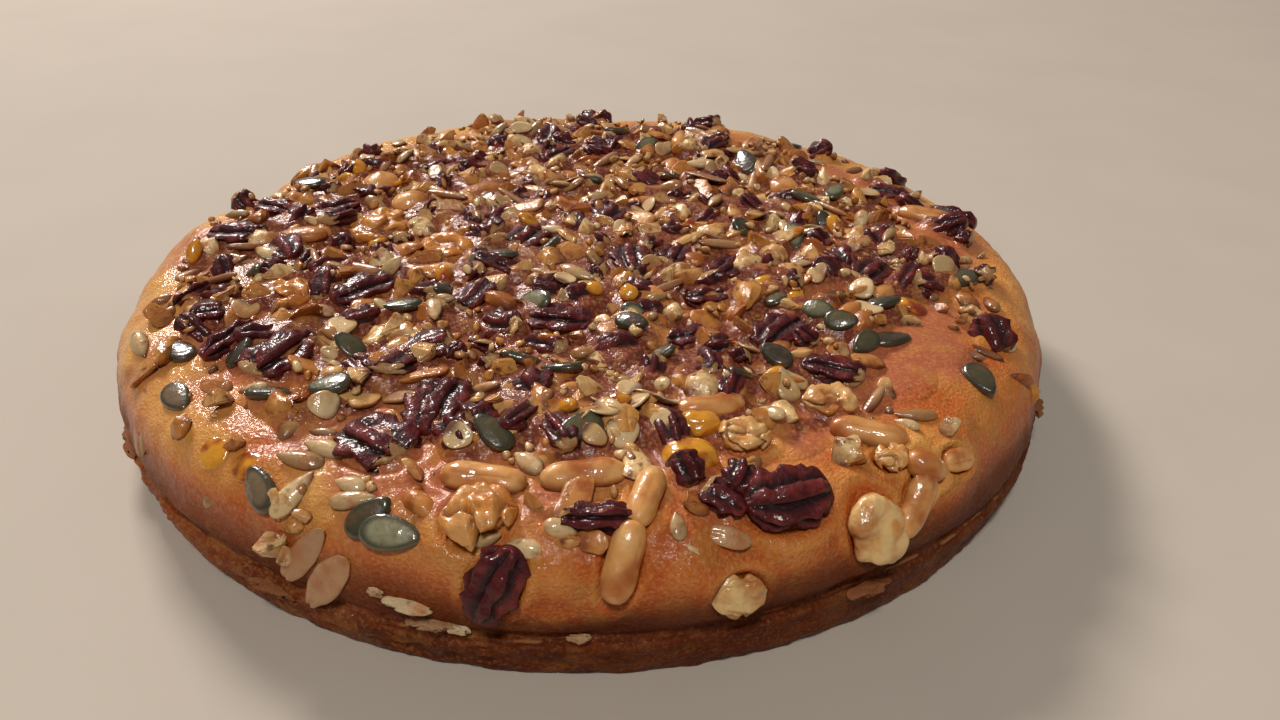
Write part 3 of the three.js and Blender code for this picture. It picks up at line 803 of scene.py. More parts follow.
# ---------------------------------------------------------------------------------------------
# Candied fruit. Soft lumps boiled in sugar: amber to red, glassy, and the light goes some way
# into them.
# ---------------------------------------------------------------------------------------------
CANDIED_AMBER = "#e09a26"
CANDIED_RED = "#9a3410"


def candied_lump(seed, columns=44, rows=30):
    """One lump of candied fruit from -1 to 1 each way."""
    dirs, faces = ball(columns, rows)
    along, angle = dirs[:, 0], np.arctan2(dirs[:, 2], dirs[:, 1])
    size = 1 + 0.12 * ripple(6 * along, 4 * np.cos(angle), 4 * np.sin(angle), 2.0)
    size = size + 0.1 * noise(dirs * 8 + 30 * seed, 5.0, 5, 2)
    return np.stack([along, dirs[:, 1] * size, dirs[:, 2] * size], 1), faces


candied_finish = new_finish(
    "candied_fruit",  # clear sugared flesh that glows where light passes through it
    CANDIED_AMBER,
    # darker near the crust and low on each piece: glaze and painted shade
    ((CANDIED_RED, 6.0, 0.5, 0.66, 1.0), ("#6d2a16", "sunk", 0.3, 1.0, 0.6)),
    grain=(2.5, 0.4),
    film=(2.5, 0.4),
    Roughness=0.2,
    IOR=1.48,
    Coat_Weight=1.0,
    Coat_Roughness=0.05,
    Coat_IOR=1.48,
    Subsurface_Weight=0.4,
    Subsurface_Scale=2 * MM,
    Subsurface_Radius=(1.0, 0.35, 0.08),
)
for number, node, seat in seats_of("candied"):
    shape, faces = candied_lump(number)
    points = seated(seat, shape)
    fruit = make_piece(f"candied_lump_{number + 1:02d}", points, faces, candied_finish, sunk=sunk(points))
    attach(fruit, "root")
    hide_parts(node)

# ---------------------------------------------------------------------------------------------
# How the small toppings lie. They were strewn over the batter by hand, thick in the middle and
# thin towards the rim, and each came to rest on whatever already lay there. pile is the height
# of all that, over the plan.
# ---------------------------------------------------------------------------------------------
PLAN_HALF = 126.0  # the plan is a square grid of cells
CELL = 0.84
MOST_OVER_CRUST = 7.0  # they were pressed down a little, so none stands higher than this
HIGHEST = 43.6
ON_SHOULDER = 112.0  # beyond this radius a piece lies straight on the crust, half sunk in it
EDGE_SINK = 0.2  # how much deeper a piece lies near the edge, and on the shoulder, in heights of its own
SHOULDER_SINK = 0.16
STEEPEST = 0.75  # rise per length of a piece that leans on others
# How far out the toppings lie thick: direction in degrees, radius.
THICK_EDGE = (
    (-180, 100), (-160, 101), (-148, 99), (-136, 98), (-120, 103), (-105, 106), (-90, 108), (-75, 108),
    (-60, 98), (-48, 92), (-34, 90), (-20, 96), (-8, 101), (10, 100), (23, 94), (44, 94), (57, 100),
    (75, 104), (100, 102), (128, 101), (150, 106), (180, 100),
)
# Puffs of sponge that stand bare between the toppings, with glaze over them: x, y, radius.
BARE_PLACES = (
    (88, -56, 16), (80, -70, 12), (92, -40, 9), (52, -95, 9), (47, -104, 7), (14, -121, 10), (-60, -96, 8),
    (-20, -32, 5), (2, -45, 5), (0, -52, 4), (49, 28, 6), (-8, 26, 6), (57, -24, 5), (79, 62, 10),
    (84, -9, 6), (99, 7, 9), (86, 22, 6), (66, -30, 6), (-9, -98, 5), (5, -101, 5), (-108, 71, 8),
    (-91, -68, 6), (-85, -77, 6), (-72, -92, 6), (43, -5, 4), (28, 64, 5), (-33, -40, 4), (30, 90, 6),
    (-50, 80, 6), (-20, 60, 5), (-60, 0, 5),
)
axis = np.arange(-PLAN_HALF, PLAN_HALF + CELL, CELL)
plan_x, plan_y = np.meshgrid(axis, axis, indexing="ij")
within = np.minimum(1, 128 / np.maximum(np.hypot(plan_x, plan_y), 1e-6))
ground = crust_point(plan_x * within, plan_y * within)[0][..., 2]
pile = ground.copy()
cover = np.zeros_like(pile)  # how many pieces lie on each place
on_nut = np.zeros_like(pile)  # 1 where a nut lies


def cells_near(x, y, reach):
    """The part of the plan within reach of a point."""
    low_x, high_x = np.searchsorted(axis, [x - reach, x + reach])
    low_y, high_y = np.searchsorted(axis, [y - reach, y + reach])
    return slice(low_x, high_x), slice(low_y, high_y)


def heap(place, x, y, z, along, slope, length, width, height):
    """Raises the pile by an oval piece. along is its direction on the plan, and slope its rise along and
    across. Returns how far out of the oval each cell is, with 1 at its edge."""
    off_x, off_y = plan_x[place] - x, plan_y[place] - y
    on_along = off_x * along[0] + off_y * along[1]
    on_across = off_y * along[0] - off_x * along[1]
    away = (on_along / (length / 2)) ** 2 + (on_across / (width / 2)) ** 2
    top = z + slope[0] * on_along + slope[1] * on_across + height / 2 * np.sqrt(np.maximum(1 - away, 0))
    pile[place] = np.where(away < 1, np.maximum(pile[place], top), pile[place])
    return away


for seat in NUT_SEATS.values():
    x, y, z = seat["origin"]
    along = seat["along"][:2] / np.hypot(*seat["along"][:2])
    rise = seat["normal"]
    slope_x, slope_y = -rise[0] / rise[2], -rise[1] / rise[2]
    slope = (slope_x * along[0] + slope_y * along[1], slope_y * along[0] - slope_x * along[1])
    place = cells_near(x, y, seat["length"] * 0.7)
    height = nut_height(seat)
    middle_z = z + NUT_MIDDLE * height + seat["lift"]
    away = heap(place, x, y, middle_z, along, slope, seat["length"], seat["width"], height)
    on_nut[place] = np.maximum(on_nut[place], 1 - smooth_step(away, 0.9, 2.0))


def topping_share(x, y):
    """How thickly the toppings were strewn over a point of the plan, from 0 to 1."""
    heading = math.degrees(math.atan2(y, x))
    edge = np.interp(heading, *np.array(THICK_EDGE).T)
    radius = math.hypot(x, y)
    share = 1 - smooth_step(radius, edge - 7, edge + 5)
    thin = 0.3 if -170 < heading < -60 else 0.12
    share = share + thin * (1 - smooth_step(radius, 114, 121)) * (1 - share)
    for bare_x, bare_y, bare in BARE_PLACES:
        share = share * smooth_step(math.hypot(x - bare_x, y - bare_y), bare * 0.7, bare * 1.25)
    return share


def settle(x, y, turn, length, width, height, sink):
    """Lets a piece come to rest, on the crust or on the pile, with its middle sink times its height over
    what it lies on. Returns its middle and its axes."""
    along = (math.cos(turn), math.sin(turn))
    if math.hypot(x, y) > ON_SHOULDER:
        origin, normal = crust_point(x, y)
        second = np.cross(normal, [along[0], along[1], 0])
        second /= np.linalg.norm(second)
        first = np.cross(second, normal)
        slope = -normal[:2] / max(normal[2], 0.3)
        slope = (slope @ along, slope @ np.array([-along[1], along[0]]))
        place = cells_near(x, y, max(length, width) * 0.75)
        around = crust_points[np.abs(crust_points - origin).max(1) < 4]
        bulge = np.percentile((around - origin) @ normal, 70) if len(around) else 0  # the crust's own lumps
        middle = origin + normal * (bulge + (sink - SHOULDER_SINK) * height)
        away = heap(place, *middle, along, slope, length, width, height)
        cover[place] += np.where(away < 1.3, 1.0, 0.0)
        return middle, np.stack([first, second, normal])
    steps = np.array([-0.7, 0, 0.7])  # it touches the pile at nine places under it
    u = np.repeat(steps, 3) * length / 2
    v = np.tile(steps, 3) * width / 2
    at_x = np.clip(np.searchsorted(axis, x + u * along[0] - v * along[1]), 0, len(axis) - 1)
    at_y = np.clip(np.searchsorted(axis, y + u * along[1] + v * along[0]), 0, len(axis) - 1)
    under = pile[at_x, at_y]
    slope = [(under * u).sum() / (u * u).sum(), (under * v).sum() / (v * v).sum()]
    slope = np.clip(slope, -STEEPEST, STEEPEST)
    rest = np.percentile(under - slope[0] * u - slope[1] * v, 60)
    z = rest + (sink - EDGE_SINK * smooth_step(math.hypot(x, y), 92, 108)) * height
    place = cells_near(x, y, max(length, width) * 0.75)
    away = heap(place, x, y, z, along, slope, length, width, height)
    cover[place] += np.where(away < 1.3, 1.0, 0.0)
    first = np.array([along[0], along[1], slope[0]])
    second = np.array([-along[1], along[0], slope[1]])
    first /= np.linalg.norm(first)
    normal = np.cross(first, second)
    normal /= np.linalg.norm(normal)
    return np.array([x, y, z]), np.stack([first, np.cross(normal, first), normal])


STREWN_RADIUS = 121.0
SPOTS_TRIED = 10
FULL_PILE = 6.2  # how high the toppings may lie before a piece goes elsewhere


def free_spot(draw):
    """A place for one more piece: of several random ones, where the fewest lie already."""
    best = None
    tries = SPOTS_TRIED
    for _ in range(40 * SPOTS_TRIED):
        radius, turn = STREWN_RADIUS * math.sqrt(draw.random()), 2 * math.pi * draw.random()
        x, y = radius * math.cos(turn), radius * math.sin(turn)
        if topping_share(x, y) < draw.random():
            continue
        spot = (np.searchsorted(axis, x), np.searchsorted(axis, y))
        over = pile[spot] - ground[spot]
        crowd = cover[spot] + 6 * on_nut[spot] + 0.25 * over + 0.5 * draw.random() + 9 * (over > FULL_PILE)
        if best is None or crowd < best[0]:
            best = (crowd, x, y)
        tries -= 1
        if tries <= 0:
            break
    return best[1], best[2]


def tumbled(draw, amount):
    """A random turn of a piece about its own axes, up to that many radians."""
    a, b = amount * (draw.random(2) * 2 - 1)
    turn_a = np.array([[1, 0, 0], [0, math.cos(a), -math.sin(a)], [0, math.sin(a), math.cos(a)]])
    turn_b = np.array([[math.cos(b), 0, math.sin(b)], [0, 1, 0], [-math.sin(b), 0, math.cos(b)]])
    return turn_a @ turn_b


def strew(draw, count, variants, size, vary, tumble, sink, spots=()):
    """Lays pieces of one kind, first at given spots (x, y, heading, length and maybe tint) and then count
    more. Returns their joined points and faces, and layers: a tint for each piece, how sunk each point is
    or how low on its piece, where glaze and painted shade darken it, and what the shapes themselves mark."""
    points, faces, tints, marks, lows, start = [], [], [], [], [], 0
    for index in range(len(spots) + count):
        scale = np.array(size) * (1 + vary * (draw.random(3) * 2 - 1))
        tint = draw.random()
        if index < len(spots):
            x, y, turn, length, *given = spots[index]
            tint = given[0] if given else tint
            turn = math.radians(turn) + math.pi * (draw.random() < 0.5)
            ratio = length / size[0]
            scale = np.array([length, scale[1] * (0.4 + 0.6 * ratio), scale[2] * (0.5 + 0.5 * ratio)])
        else:
            x, y = free_spot(draw)
            turn = 2 * math.pi * draw.random()
        middle, axes = settle(x, y, turn, *scale, sink)
        shape, sides, *more = variants[int(draw.random() * len(variants))]
        piece = (shape * scale / 2) @ tumbled(draw, tumble).T @ axes + middle
        over = piece[:, 2] - crust_point(piece[:, 0], piece[:, 1])[0][:, 2]
        piece[:, 2] -= max(0, over.max() - MOST_OVER_CRUST, piece[:, 2].max() - HIGHEST)
        points.append(piece)
        faces += [[corner + start for corner in side] for side in sides]
        tints.append(np.full(len(piece), tint))
        marks.append(np.reshape(more, (-1, len(piece))))
        # the lower side of each piece is darkened too, as glaze and painted shade
        lows.append(1 - smooth_step((piece - piece.mean(0)) @ axes[2] / scale[2], -0.3, 0.22))
        start += len(piece)
    points = np.concatenate(points)
    layers = {"tint": np.concatenate(tints), "sunk": np.maximum(sunk(points), np.concatenate(lows))}
    return points, faces, layers | dict(zip(("groove", "broken"), np.concatenate(marks, 1)))


draw = np.random.default_rng(26)

# ---------------------------------------------------------------------------------------------
# Split nuts. Halves of peanuts, cashews and almonds, smooth and tan to orange-brown, some with
# the flat side up.
# ---------------------------------------------------------------------------------------------
SPLIT_SIZE = (12.5, 7.6, 5.0)
SPLIT_COUNT = 85  # of them strewn, apart from those at the spots
SPLIT_SPOTS = (
    (-27, 23, 48, 10), (-18, 21, -33, 7), (-77, 0, 7, 7), (-41, -36, 28, 7), (-53, 85, 61, 10),
    (-43, 83, 34, 10), (49, 89, 24, 7), (22, 55, 59, 16), (39, 65, 23, 9), (43, 44, -25, 8),
    (24, 18, 61, 16), (35, 17, -52, 12), (42, 22, -79, 16), (12, 7, -18, 13), (-7, -8, 64, 11),
    (35, 6, -1, 13), (35, -2, 13, 11), (51, 16, -2, 10), (31, -15, 35, 10), (57, -25, -31, 10),
    (-56, -77, 52, 8), (-58, -92, 64, 12), (-80, -80, -21, 8), (-28, -50, 50, 16), (6, -51, -60, 7),
    (6, -55, 79, 12), (32, -50, -35, 11), (17, -60, -61, 7), (13, -63, 49, 7), (-14, -61, 36, 9),
    (-3, -82, 24, 12), (-3, -93, 63, 7), (98, -7, 37, 7), (103, -4, 38, 7), (82, -29, 50, 16),
    (68, -43, -49, 9), (64, -59, 9, 8), (69, -65, 8, 9), (102, -41, 21, 11, 0.0), (72, -75, -76, 7),
    (-27, -116, -45, 10), (7, -123, -9, 7),
)


def split_nut(draw):
    """Half a kernel, from -1 to 1 each way: round outside, with a shallow hollow in its flat face."""
    dirs, faces = ball(20, 14)
    along = dirs[:, 0]
    size = 1 - 0.12 * hump(along, 0.45) - 0.14 * along * draw.random()
    flat = np.where(dirs[:, 2] < 0, dirs[:, 2] * 0.25, dirs[:, 2])
    flat = flat + np.where(dirs[:, 2] < 0, 0.04 * (1 - along**2), 0)
    bend = (draw.random() - 0.4) * 0.5 * along**2
    side = -1 if draw.random() < 0.4 else 1
    shape = np.stack([along, dirs[:, 1] * size + bend, side * (flat - 0.4)], 1)
    return shape * (1 + 0.08 * noise(dirs * 3 + 30 * draw.random(), 2.0, 3, 2))[:, None], faces


split_finish = new_finish(
    "glazed_split_nut",  # smooth toasted flesh, wet with glaze
    "#e2b87c",
    (
        ("#c88842", "tint", 0.2, 0.6, 1.0),
        ("#9c5220", "tint", 0.75, 1.0, 1.0),
        ("#8a431a", 4.5, 0.52, 0.66, 0.8),
    )
    + (GLAZE_PATCH, GLAZE_AND_SHADE_LOW),
    grain=(2.5, 0.3),
    film=(1.8, 0.5),
    Roughness=0.42,
    IOR=1.47,
    **HONEY_GLAZE,
    **NUT_FLESH,
)
halves = [split_nut(draw) for _ in range(8)]
points, faces, layers = strew(
    draw, SPLIT_COUNT, halves, SPLIT_SIZE, vary=0.3, tumble=0.5, sink=0.3, spots=SPLIT_SPOTS
)
split_nuts = make_piece("split_nuts", points, faces, split_finish, **layers)
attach(split_nuts, "root")
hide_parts("cake")

# ---------------------------------------------------------------------------------------------
# Chopped nuts. Bits of peanut, hazelnut, walnut and almond with flat broken faces, cream
# inside and toasted outside.
# ---------------------------------------------------------------------------------------------
NUT_BIT_SIZE = (10.2, 7.6, 5.6)
NUT_BIT_COUNT = 250
NUT_BIT_SPOTS = (
    (-67, 21, 20, 10), (-44, 12, -16, 12), (-35, 63, 38, 8), (19, 95, 31, 7), (10, 74, 66, 11),
    (14, 62, 65, 11), (4, 39, -56, 10), (-5, 43, -26, 5), (15, 32, 11, 12), (-12, 13, 18, 6),
    (8, 19, -50, 7), (1, 8, 70, 7), (8, 1, 21, 5), (49, 8, 23, 6), (51, -5, -64, 12), (54, -2, -86, 14),
    (74, 0, -38, 5), (76, -5, 55, 7), (64, -9, -5, 7), (33, -9, -9, 6), (24, -26, 29, 11),
    (-92, -42, -14, 12), (-86, -49, 11, 11), (-96, -51, 27, 5), (-84, -40, -56, 10), (-61, -84, 15, 5),
    (-44, -75, -58, 12), (-48, -80, -17, 8), (-53, -56, -37, 8), (-103, -68, -47, 13), (-99, -46, -20, 6),
    (-84, -90, -40, 7), (-99, -43, -49, 8), (-17, -48, -32, 11), (24, -27, 20, 12), (23, -48, 28, 5),
    (39, -45, 61, 8), (31, -68, 10, 8), (-33, -62, 49, 5), (-35, -70, 74, 7), (-3, -64, -39, 6),
    (-13, -81, 63, 9), (1, -85, -17, 5), (6, -78, -12, 7), (5, -93, -20, 5), (78, -4, 25, 8),
    (85, -6, -27, 8), (108, -5, 41, 9), (96, -18, 43, 9), (100, -24, 20, 5), (94, -35, -26, 6),
    (61, -38, -69, 5), (76, -45, 26, 6), (84, -44, 7, 6), (108, -59, 44, 14), (108, -60, 43, 8),
    (-70, -98, 0, 5), (-56, -115, -14, 5), (-53, -115, -6, 5), (-55, -117, -18, 5), (-51, -115, -27, 5),
    (-30, -108, 46, 5), (-29, -119, -21, 5), (-12, -120, -64, 6), (-5, -117, -36, 5), (26, -116, -2, 7),
    (2, -123, 7, 5), (38, -104, 44, 9), (41, -118, 4, 6), (59, -99, -21, 9), (83, -87, 0, 6),
    (-86, -31, 64, 6), (-92, 29, 43, 6), (-65, 78, 125, 6), (-104, -14, 73, 6), (-14, 106, 151, 6),
    (-86, 69, 51, 6), (61, 94, 118, 6), (-42, 106, 103, 6), (106, 47, 33, 6), (59, -98, 35, 9, 0.05),
    (-45, -60, 80, 13, 0.05), (-58, -111.5, 20, 7, 0.1), (-55, -112.5, 70, 6, 0.1),
    (-58, -114.5, 0, 7, 0.2), (98, -42, 0, 4, 0.1), (103, -39, 30, 4, 0.1), (105, -42, 60, 4, 0.2),
    (102, -37, 0, 4, 0.1), (95, -45, 0, 4, 0.2),
)


CHUNK_CORNERS = 11
CHUNK_ROUNDING = 0.08


def hull_sides(corners):
    """The outer triangles of a form with these corners: those with all the other corners behind them."""
    sides = []
    for a in range(len(corners)):
        for b in range(a + 1, len(corners)):
            for c in range(b + 1, len(corners)):
                outward = np.cross(corners[b] - corners[a], corners[c] - corners[a])
                over = np.delete((corners - corners[a]) @ outward, [a, b, c])
                if (over < 0).all():
                    sides.append((a, b, c))
                if (over > 0).all():
                    sides.append((a, c, b))
    return sides


def cut_chunk(draw):
    """A chopped bit of nut with flat cut faces and edges rounded a little, from -1 to 1 each way."""
    around = draw.normal(size=(CHUNK_CORNERS, 3))
    around /= np.linalg.norm(around, axis=1)[:, None]
    around *= 0.8 + 0.25 * draw.random((CHUNK_CORNERS, 1))
    work = bmesh.new()
    corners = [work.verts.new(corner) for corner in around]
    for side in hull_sides(around):
        work.faces.new([corners[number] for number in side])
    bmesh.ops.delete(work, geom=[v for v in work.verts if not v.link_faces], context="VERTS")
    bmesh.ops.dissolve_limit(work, angle_limit=math.radians(24), verts=work.verts[:], edges=work.edges[:])
    rounding = {"offset": CHUNK_ROUNDING, "segments": 2, "affect": "EDGES", "clamp_overlap": True}
    bmesh.ops.bevel(work, geom=work.edges[:], **rounding)
    bmesh.ops.triangulate(work, faces=work.faces[:])
    bmesh.ops.subdivide_edges(work, edges=[e for e in work.edges if e.calc_length() > 0.5], cuts=1)
    bmesh.ops.triangulate(work, faces=work.faces[:])
    work.verts.index_update()
    shape = np.array([v.co for v in work.verts])
    sides = [[v.index for v in f.verts] for f in work.faces]
    work.free()
    shape = shape + 0.12 * noise(shape * 3 + 20 * draw.random(), 1.5, 4, 2)[:, None] * shape
    return shape / np.abs(shape).max(0), sides


def worn_chunk(draw, columns=14, rows=10, cuts=9):
    """A rounder broken bit: a ball cut by random flat faces, from -1 to 1 each way."""
    dirs, faces = ball(columns, rows)
    flats = draw.normal(size=(cuts, 3))
    flats /= np.linalg.norm(flats, axis=1)[:, None]
    reach = 0.62 + 0.34 * draw.random(cuts)
    ratio = np.maximum(dirs @ flats.T, 1e-3) / reach
    radius = np.minimum((ratio**14).sum(1) ** (-1 / 14), 1.15)
    shape = dirs * (radius * (1 + 0.1 * noise(dirs * 3 + 20 * draw.random(), 1.2, 4, 2)))[:, None]
    return shape / np.abs(shape).max(0), faces


chopped_nut_finish = new_finish(
    "glazed_chopped_nut",  # pale broken flesh with toasted edges, wet with glaze
    "#ead09c",
    (
        ("#d29c52", "tint", 0.3, 0.6, 1.0),
        ("#a45822", "tint", 0.76, 1.0, 1.0),
        ("#b4702e", 3.5, 0.5, 0.62, 0.65),
        ("#6a2c14", 2.6, 0.56, 0.68, 0.85),
    )
    + (GLAZE_PATCH, GLAZE_AND_SHADE_LOW),
    grain=(1.5, 0.3),
    film=(1.8, 0.5),
    Roughness=0.42,
    IOR=1.47,
    **HONEY_GLAZE,
    **NUT_FLESH,
)
bits = [cut_chunk(draw) for _ in range(10)] + [worn_chunk(draw) for _ in range(5)]
points, faces, layers = strew(
    draw, NUT_BIT_COUNT, bits, NUT_BIT_SIZE, vary=0.45, tumble=0.9, sink=0.3, spots=NUT_BIT_SPOTS
)
chopped_nuts = make_piece("chopped_nuts", points, faces, chopped_nut_finish, **layers)
chopped_nuts.data.set_sharp_from_angle(angle=math.radians(38))
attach(chopped_nuts, "root")
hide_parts("cake")

# ---------------------------------------------------------------------------------------------
# Sunflower kernels. Slim pointed kernels, cream to grey-tan, without their shells.
# ---------------------------------------------------------------------------------------------
KERNEL_SIZE = (8.8, 3.9, 2.6)
KERNEL_COUNT = 80
KERNEL_SPOTS = (
    (-26, 10, -15, 6), (-69, -26, -5, 11), (-67, -32, -7, 6), (-89, -18, -28, 9), (-96, 82, 66, 7),
    (36, 95, 24, 6), (41, 87, 10, 6), (34, 54, 8, 11), (1, 22, 18, 7), (60, 21, -54, 6), (59, -19, -7, 6),
    (3, -22, -38, 10), (-2, -30, -26, 11), (-111, -37, 36, 6), (-68, -27, -8, 11), (-56, -64, -14, 10),
    (-57, -70, -29, 8), (-52, -95, -7, 7), (-107, -58, -59, 11), (-34, -47, -15, 6), (-36, -52, -74, 9),
    (-11, -32, 8, 8), (-2, -30, -31, 11), (3, -21, -23, 9), (19, -43, 13, 6), (34, -71, 69, 11),
    (-10, -65, -17, 6), (2, -70, 2, 6), (-7, -88, 12, 9), (-10, -95, 1, 8), (37, -75, 50, 9),
    (109, -49, 42, 7), (-54, -104, -11, 11), (-50, -101, -20, 10), (-54, -111, 39, 7), (-41, -114, 1, 10),
    (-42, -111, -15, 7), (-74, -103, 47, 6), (-7, -106, -44, 8), (23, -120, -81, 6), (26, -122, -43, 6),
    (1, -122, -17, 7), (2, -125, -18, 6), (-13, -123, 24, 6), (-6, -124, -10, 8), (74, -88, -25, 6),
    (86, -2, 59, 8.5), (-66, 57, 62, 8.5), (76, -53, 130, 8.5), (-25, 89, 44, 8.5), (44, -88, 126, 8.5),
    (76, 71, 143, 8.5), (-72, -81, 169, 8.5), (104, 34, 180, 8.5), (-104, -44, 49, 8.5),
    (109, -30, 95, 8.5), (-54, -111, 50, 12, 0.05),
)


def sunflower_kernel():
    """One kernel, from -1 to 1 each way, pointed at one end."""
    dirs, faces = ball(12, 12)
    along = dirs[:, 0]
    size = (1 - 0.3 * along) * (1 - 0.25 * smooth_step(along, 0.3, 1.0))
    ridge = 1 + 0.14 * hump(dirs[:, 1], 0.25)
    return np.stack([along, dirs[:, 1] * size, dirs[:, 2] * size * ridge], 1), faces


kernel_finish = new_finish(
    "glazed_sunflower_kernel",  # smooth cream to grey-tan skin, wet with glaze
    "#dcc69a",
    (
        ("#ab8c62", "tint", 0.3, 0.7, 1.0),
        ("#ad763c", "tint", 0.84, 1.0, 1.0),
        ("#7d5a38", 2.5, 0.54, 0.7, 0.7),
    )
    + (GLAZE_PATCH, GLAZE_AND_SHADE_LOW),
    grain=(1.2, 0.2),
    film=(2.5, 0.3),
    Roughness=0.42,
    IOR=1.47,
    **HONEY_GLAZE,
)
shapes = [sunflower_kernel()]
points, faces, layers = strew(
    draw, KERNEL_COUNT, shapes, KERNEL_SIZE, vary=0.15, tumble=0.2, sink=0.3, spots=KERNEL_SPOTS
)
kernels = make_piece("sunflower_kernels", points, faces, kernel_finish, **layers)
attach(kernels, "root")
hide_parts("cake")

# ---------------------------------------------------------------------------------------------
# Almond slivers and slices. Thin sticks and thin flat slices cut from blanched almonds, pale
# gold with toasted edges.
# ---------------------------------------------------------------------------------------------
SLIVER_SIZE = (12.0, 2.9, 2.1)
SLIVER_COUNT = 24
SLIVER_SPOTS = (
    (-45, 19, -19, 14), (-96, -17, 17, 8), (-93, -23, -13, 12), (-61, -19, 64, 8), (-17, 127, 21, 13),
    (57, 57, 77, 15), (54, 54, -82, 13), (2, 54, 51, 13), (64, 11, 71, 13), (-97, -24, 21, 11),
    (-97, -31, -15, 12), (-68, -34, 8, 8), (-19, -81, -23, 8), (88, -19, -1, 8), (109, -19, -30, 8),
    (96, -57, -29, 8), (101, -54, -22, 10), (13, -103, -69, 7),
)
SLICE_SIZE = (16.0, 6.0, 1.6)
SLICE_COUNT = 2
SLICE_SPOTS = (
    (-51.2, -118.4, 58, 17, 0.5), (-46.4, -120.6, 62, 18, 0.4), (-99, -79, 75, 18, 0.6), (-34, 80, 23, 12),
    (35, 40, -36, 16), (-38, -85, -23, 10), (33, -120, -17, 9),
)


def sliver(draw):
    """A thin stick, slightly bent and pointed at its ends, from -1 to 1 each way."""
    dirs, faces = ball(10, 12)
    along = dirs[:, 0]
    turn = np.arctan2(dirs[:, 2], dirs[:, 1])
    reach = (1 - abs(along) ** 3) ** 0.5
    square = (abs(np.cos(turn)) ** 4 + abs(np.sin(turn)) ** 4) ** -0.25
    bend = 0.5 * (draw.random() - 0.5) * along**2
    return np.stack([along, np.cos(turn) * square * reach + bend, np.sin(turn) * square * reach], 1), faces


def thin_slice(draw):
    """A thin flat slice, narrower at one end, with a wavy edge, from -1 to 1 each way."""
    dirs, faces = ball(30, 20)
    outward = np.minimum(np.hypot(dirs[:, 0], dirs[:, 1]), 1)
    ragged = 1 + 0.05 * noise(dirs * [3, 3, 0] + 9 * draw.random(), 1.0, 8)
    thick = np.sign(dirs[:, 2]) * (1 - outward**8) ** 0.5 * 0.6
    wave = 0.5 * np.sin(2 * dirs[:, 0] + 6 * draw.random()) - 0.4 * hump(dirs[:, 1], 0.1)
    across = dirs[:, 1] * ragged * (1 - 0.14 * dirs[:, 0])
    return np.stack([dirs[:, 0] * ragged, across, thick + wave], 1), faces


sliver_finish = new_finish(
    "glazed_cut_almond",  # pale cut flesh, toasted in patches
    "#cfa97c",
    (("#a57c5a", "tint", 0.2, 0.6, 1.0), ("#a8682f", 4.0, 0.55, 0.68, 0.6)) + (GLAZE_PATCH, GLAZE_AND_SHADE_LOW),
    grain=(1.5, 0.2),
    film=(2.5, 0.3),
    Roughness=0.4,
    IOR=1.47,
    **HONEY_GLAZE,
)
sticks = [sliver(draw) for _ in range(6)]
points, faces, layers = strew(
    draw, SLIVER_COUNT, sticks, SLIVER_SIZE, vary=0.3, tumble=0.2, sink=0.4, spots=SLIVER_SPOTS
)
slivers = make_piece("almond_slivers", points, faces, sliver_finish, **layers)
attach(slivers, "root")
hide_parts("cake")
leaves = [thin_slice(draw) for _ in range(4)]
points, faces, layers = strew(
    draw, SLICE_COUNT, leaves, SLICE_SIZE, vary=0.1, tumble=0.05, sink=0.5, spots=SLICE_SPOTS
)
layers["sunk"] = 0.3 * layers["sunk"]  # the glaze ran off the flat slices, and less shade is painted on them
slices = make_piece("almond_slices", points, faces, sliver_finish, **layers)
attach(slices, "root")
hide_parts("cake")

# ---------------------------------------------------------------------------------------------
# Chopped pecans. Dark lobed bits broken off halves, under glaze like the halves.
# ---------------------------------------------------------------------------------------------
PECAN_BIT_SIZE = (12.6, 9.4, 6.8)
PECAN_BIT_COUNT = 95
PECAN_BIT_SPOTS = (
    (-59, 65, -2, 8), (-41, 57, -24, 9), (-50, 34, 51, 10), (-32, -4, -31, 8), (-57, -17, 56, 8),
    (-70, -12, -10, 9), (-13, 78, -34, 12), (-2, 64, 16, 12), (69, 60, -3, 12), (29, 26, -79, 16),
    (25, 26, -13, 6), (-5, 3, -68, 14), (2, 16, 24, 10), (12, 17, 24, 6), (66, -2, -12, 9),
    (18, -8, 69, 12), (66, -21, -55, 9), (3, -28, -13, 9), (-19, -55, -30, 12), (2, -27, -24, 11),
    (-9, -37, 11, 9), (14, -36, -10, 10), (14, -26, 51, 7), (34, -63, 11, 7), (-23, -64, -11, 8),
    (-28, -69, 28, 6), (-19, -73, -17, 6), (-19, -92, 39, 8), (86, 5, -31, 11), (112, 9, -34, 6),
    (91, -10, 39, 6), (56, -56, -21, 8), (39, -67, -10, 6), (25, -108, -69, 9),
)
bits = [pecan_half(100 + 2 * n, 26, 18) for n in range(8)]
points, faces, layers = strew(
    draw, PECAN_BIT_COUNT, bits, PECAN_BIT_SIZE, vary=0.3, tumble=0.9, sink=0.3, spots=PECAN_BIT_SPOTS
)
chopped_pecans = make_piece("chopped_pecans", points, faces, pecan_finish, **layers)
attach(chopped_pecans, "root")
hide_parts("cake")

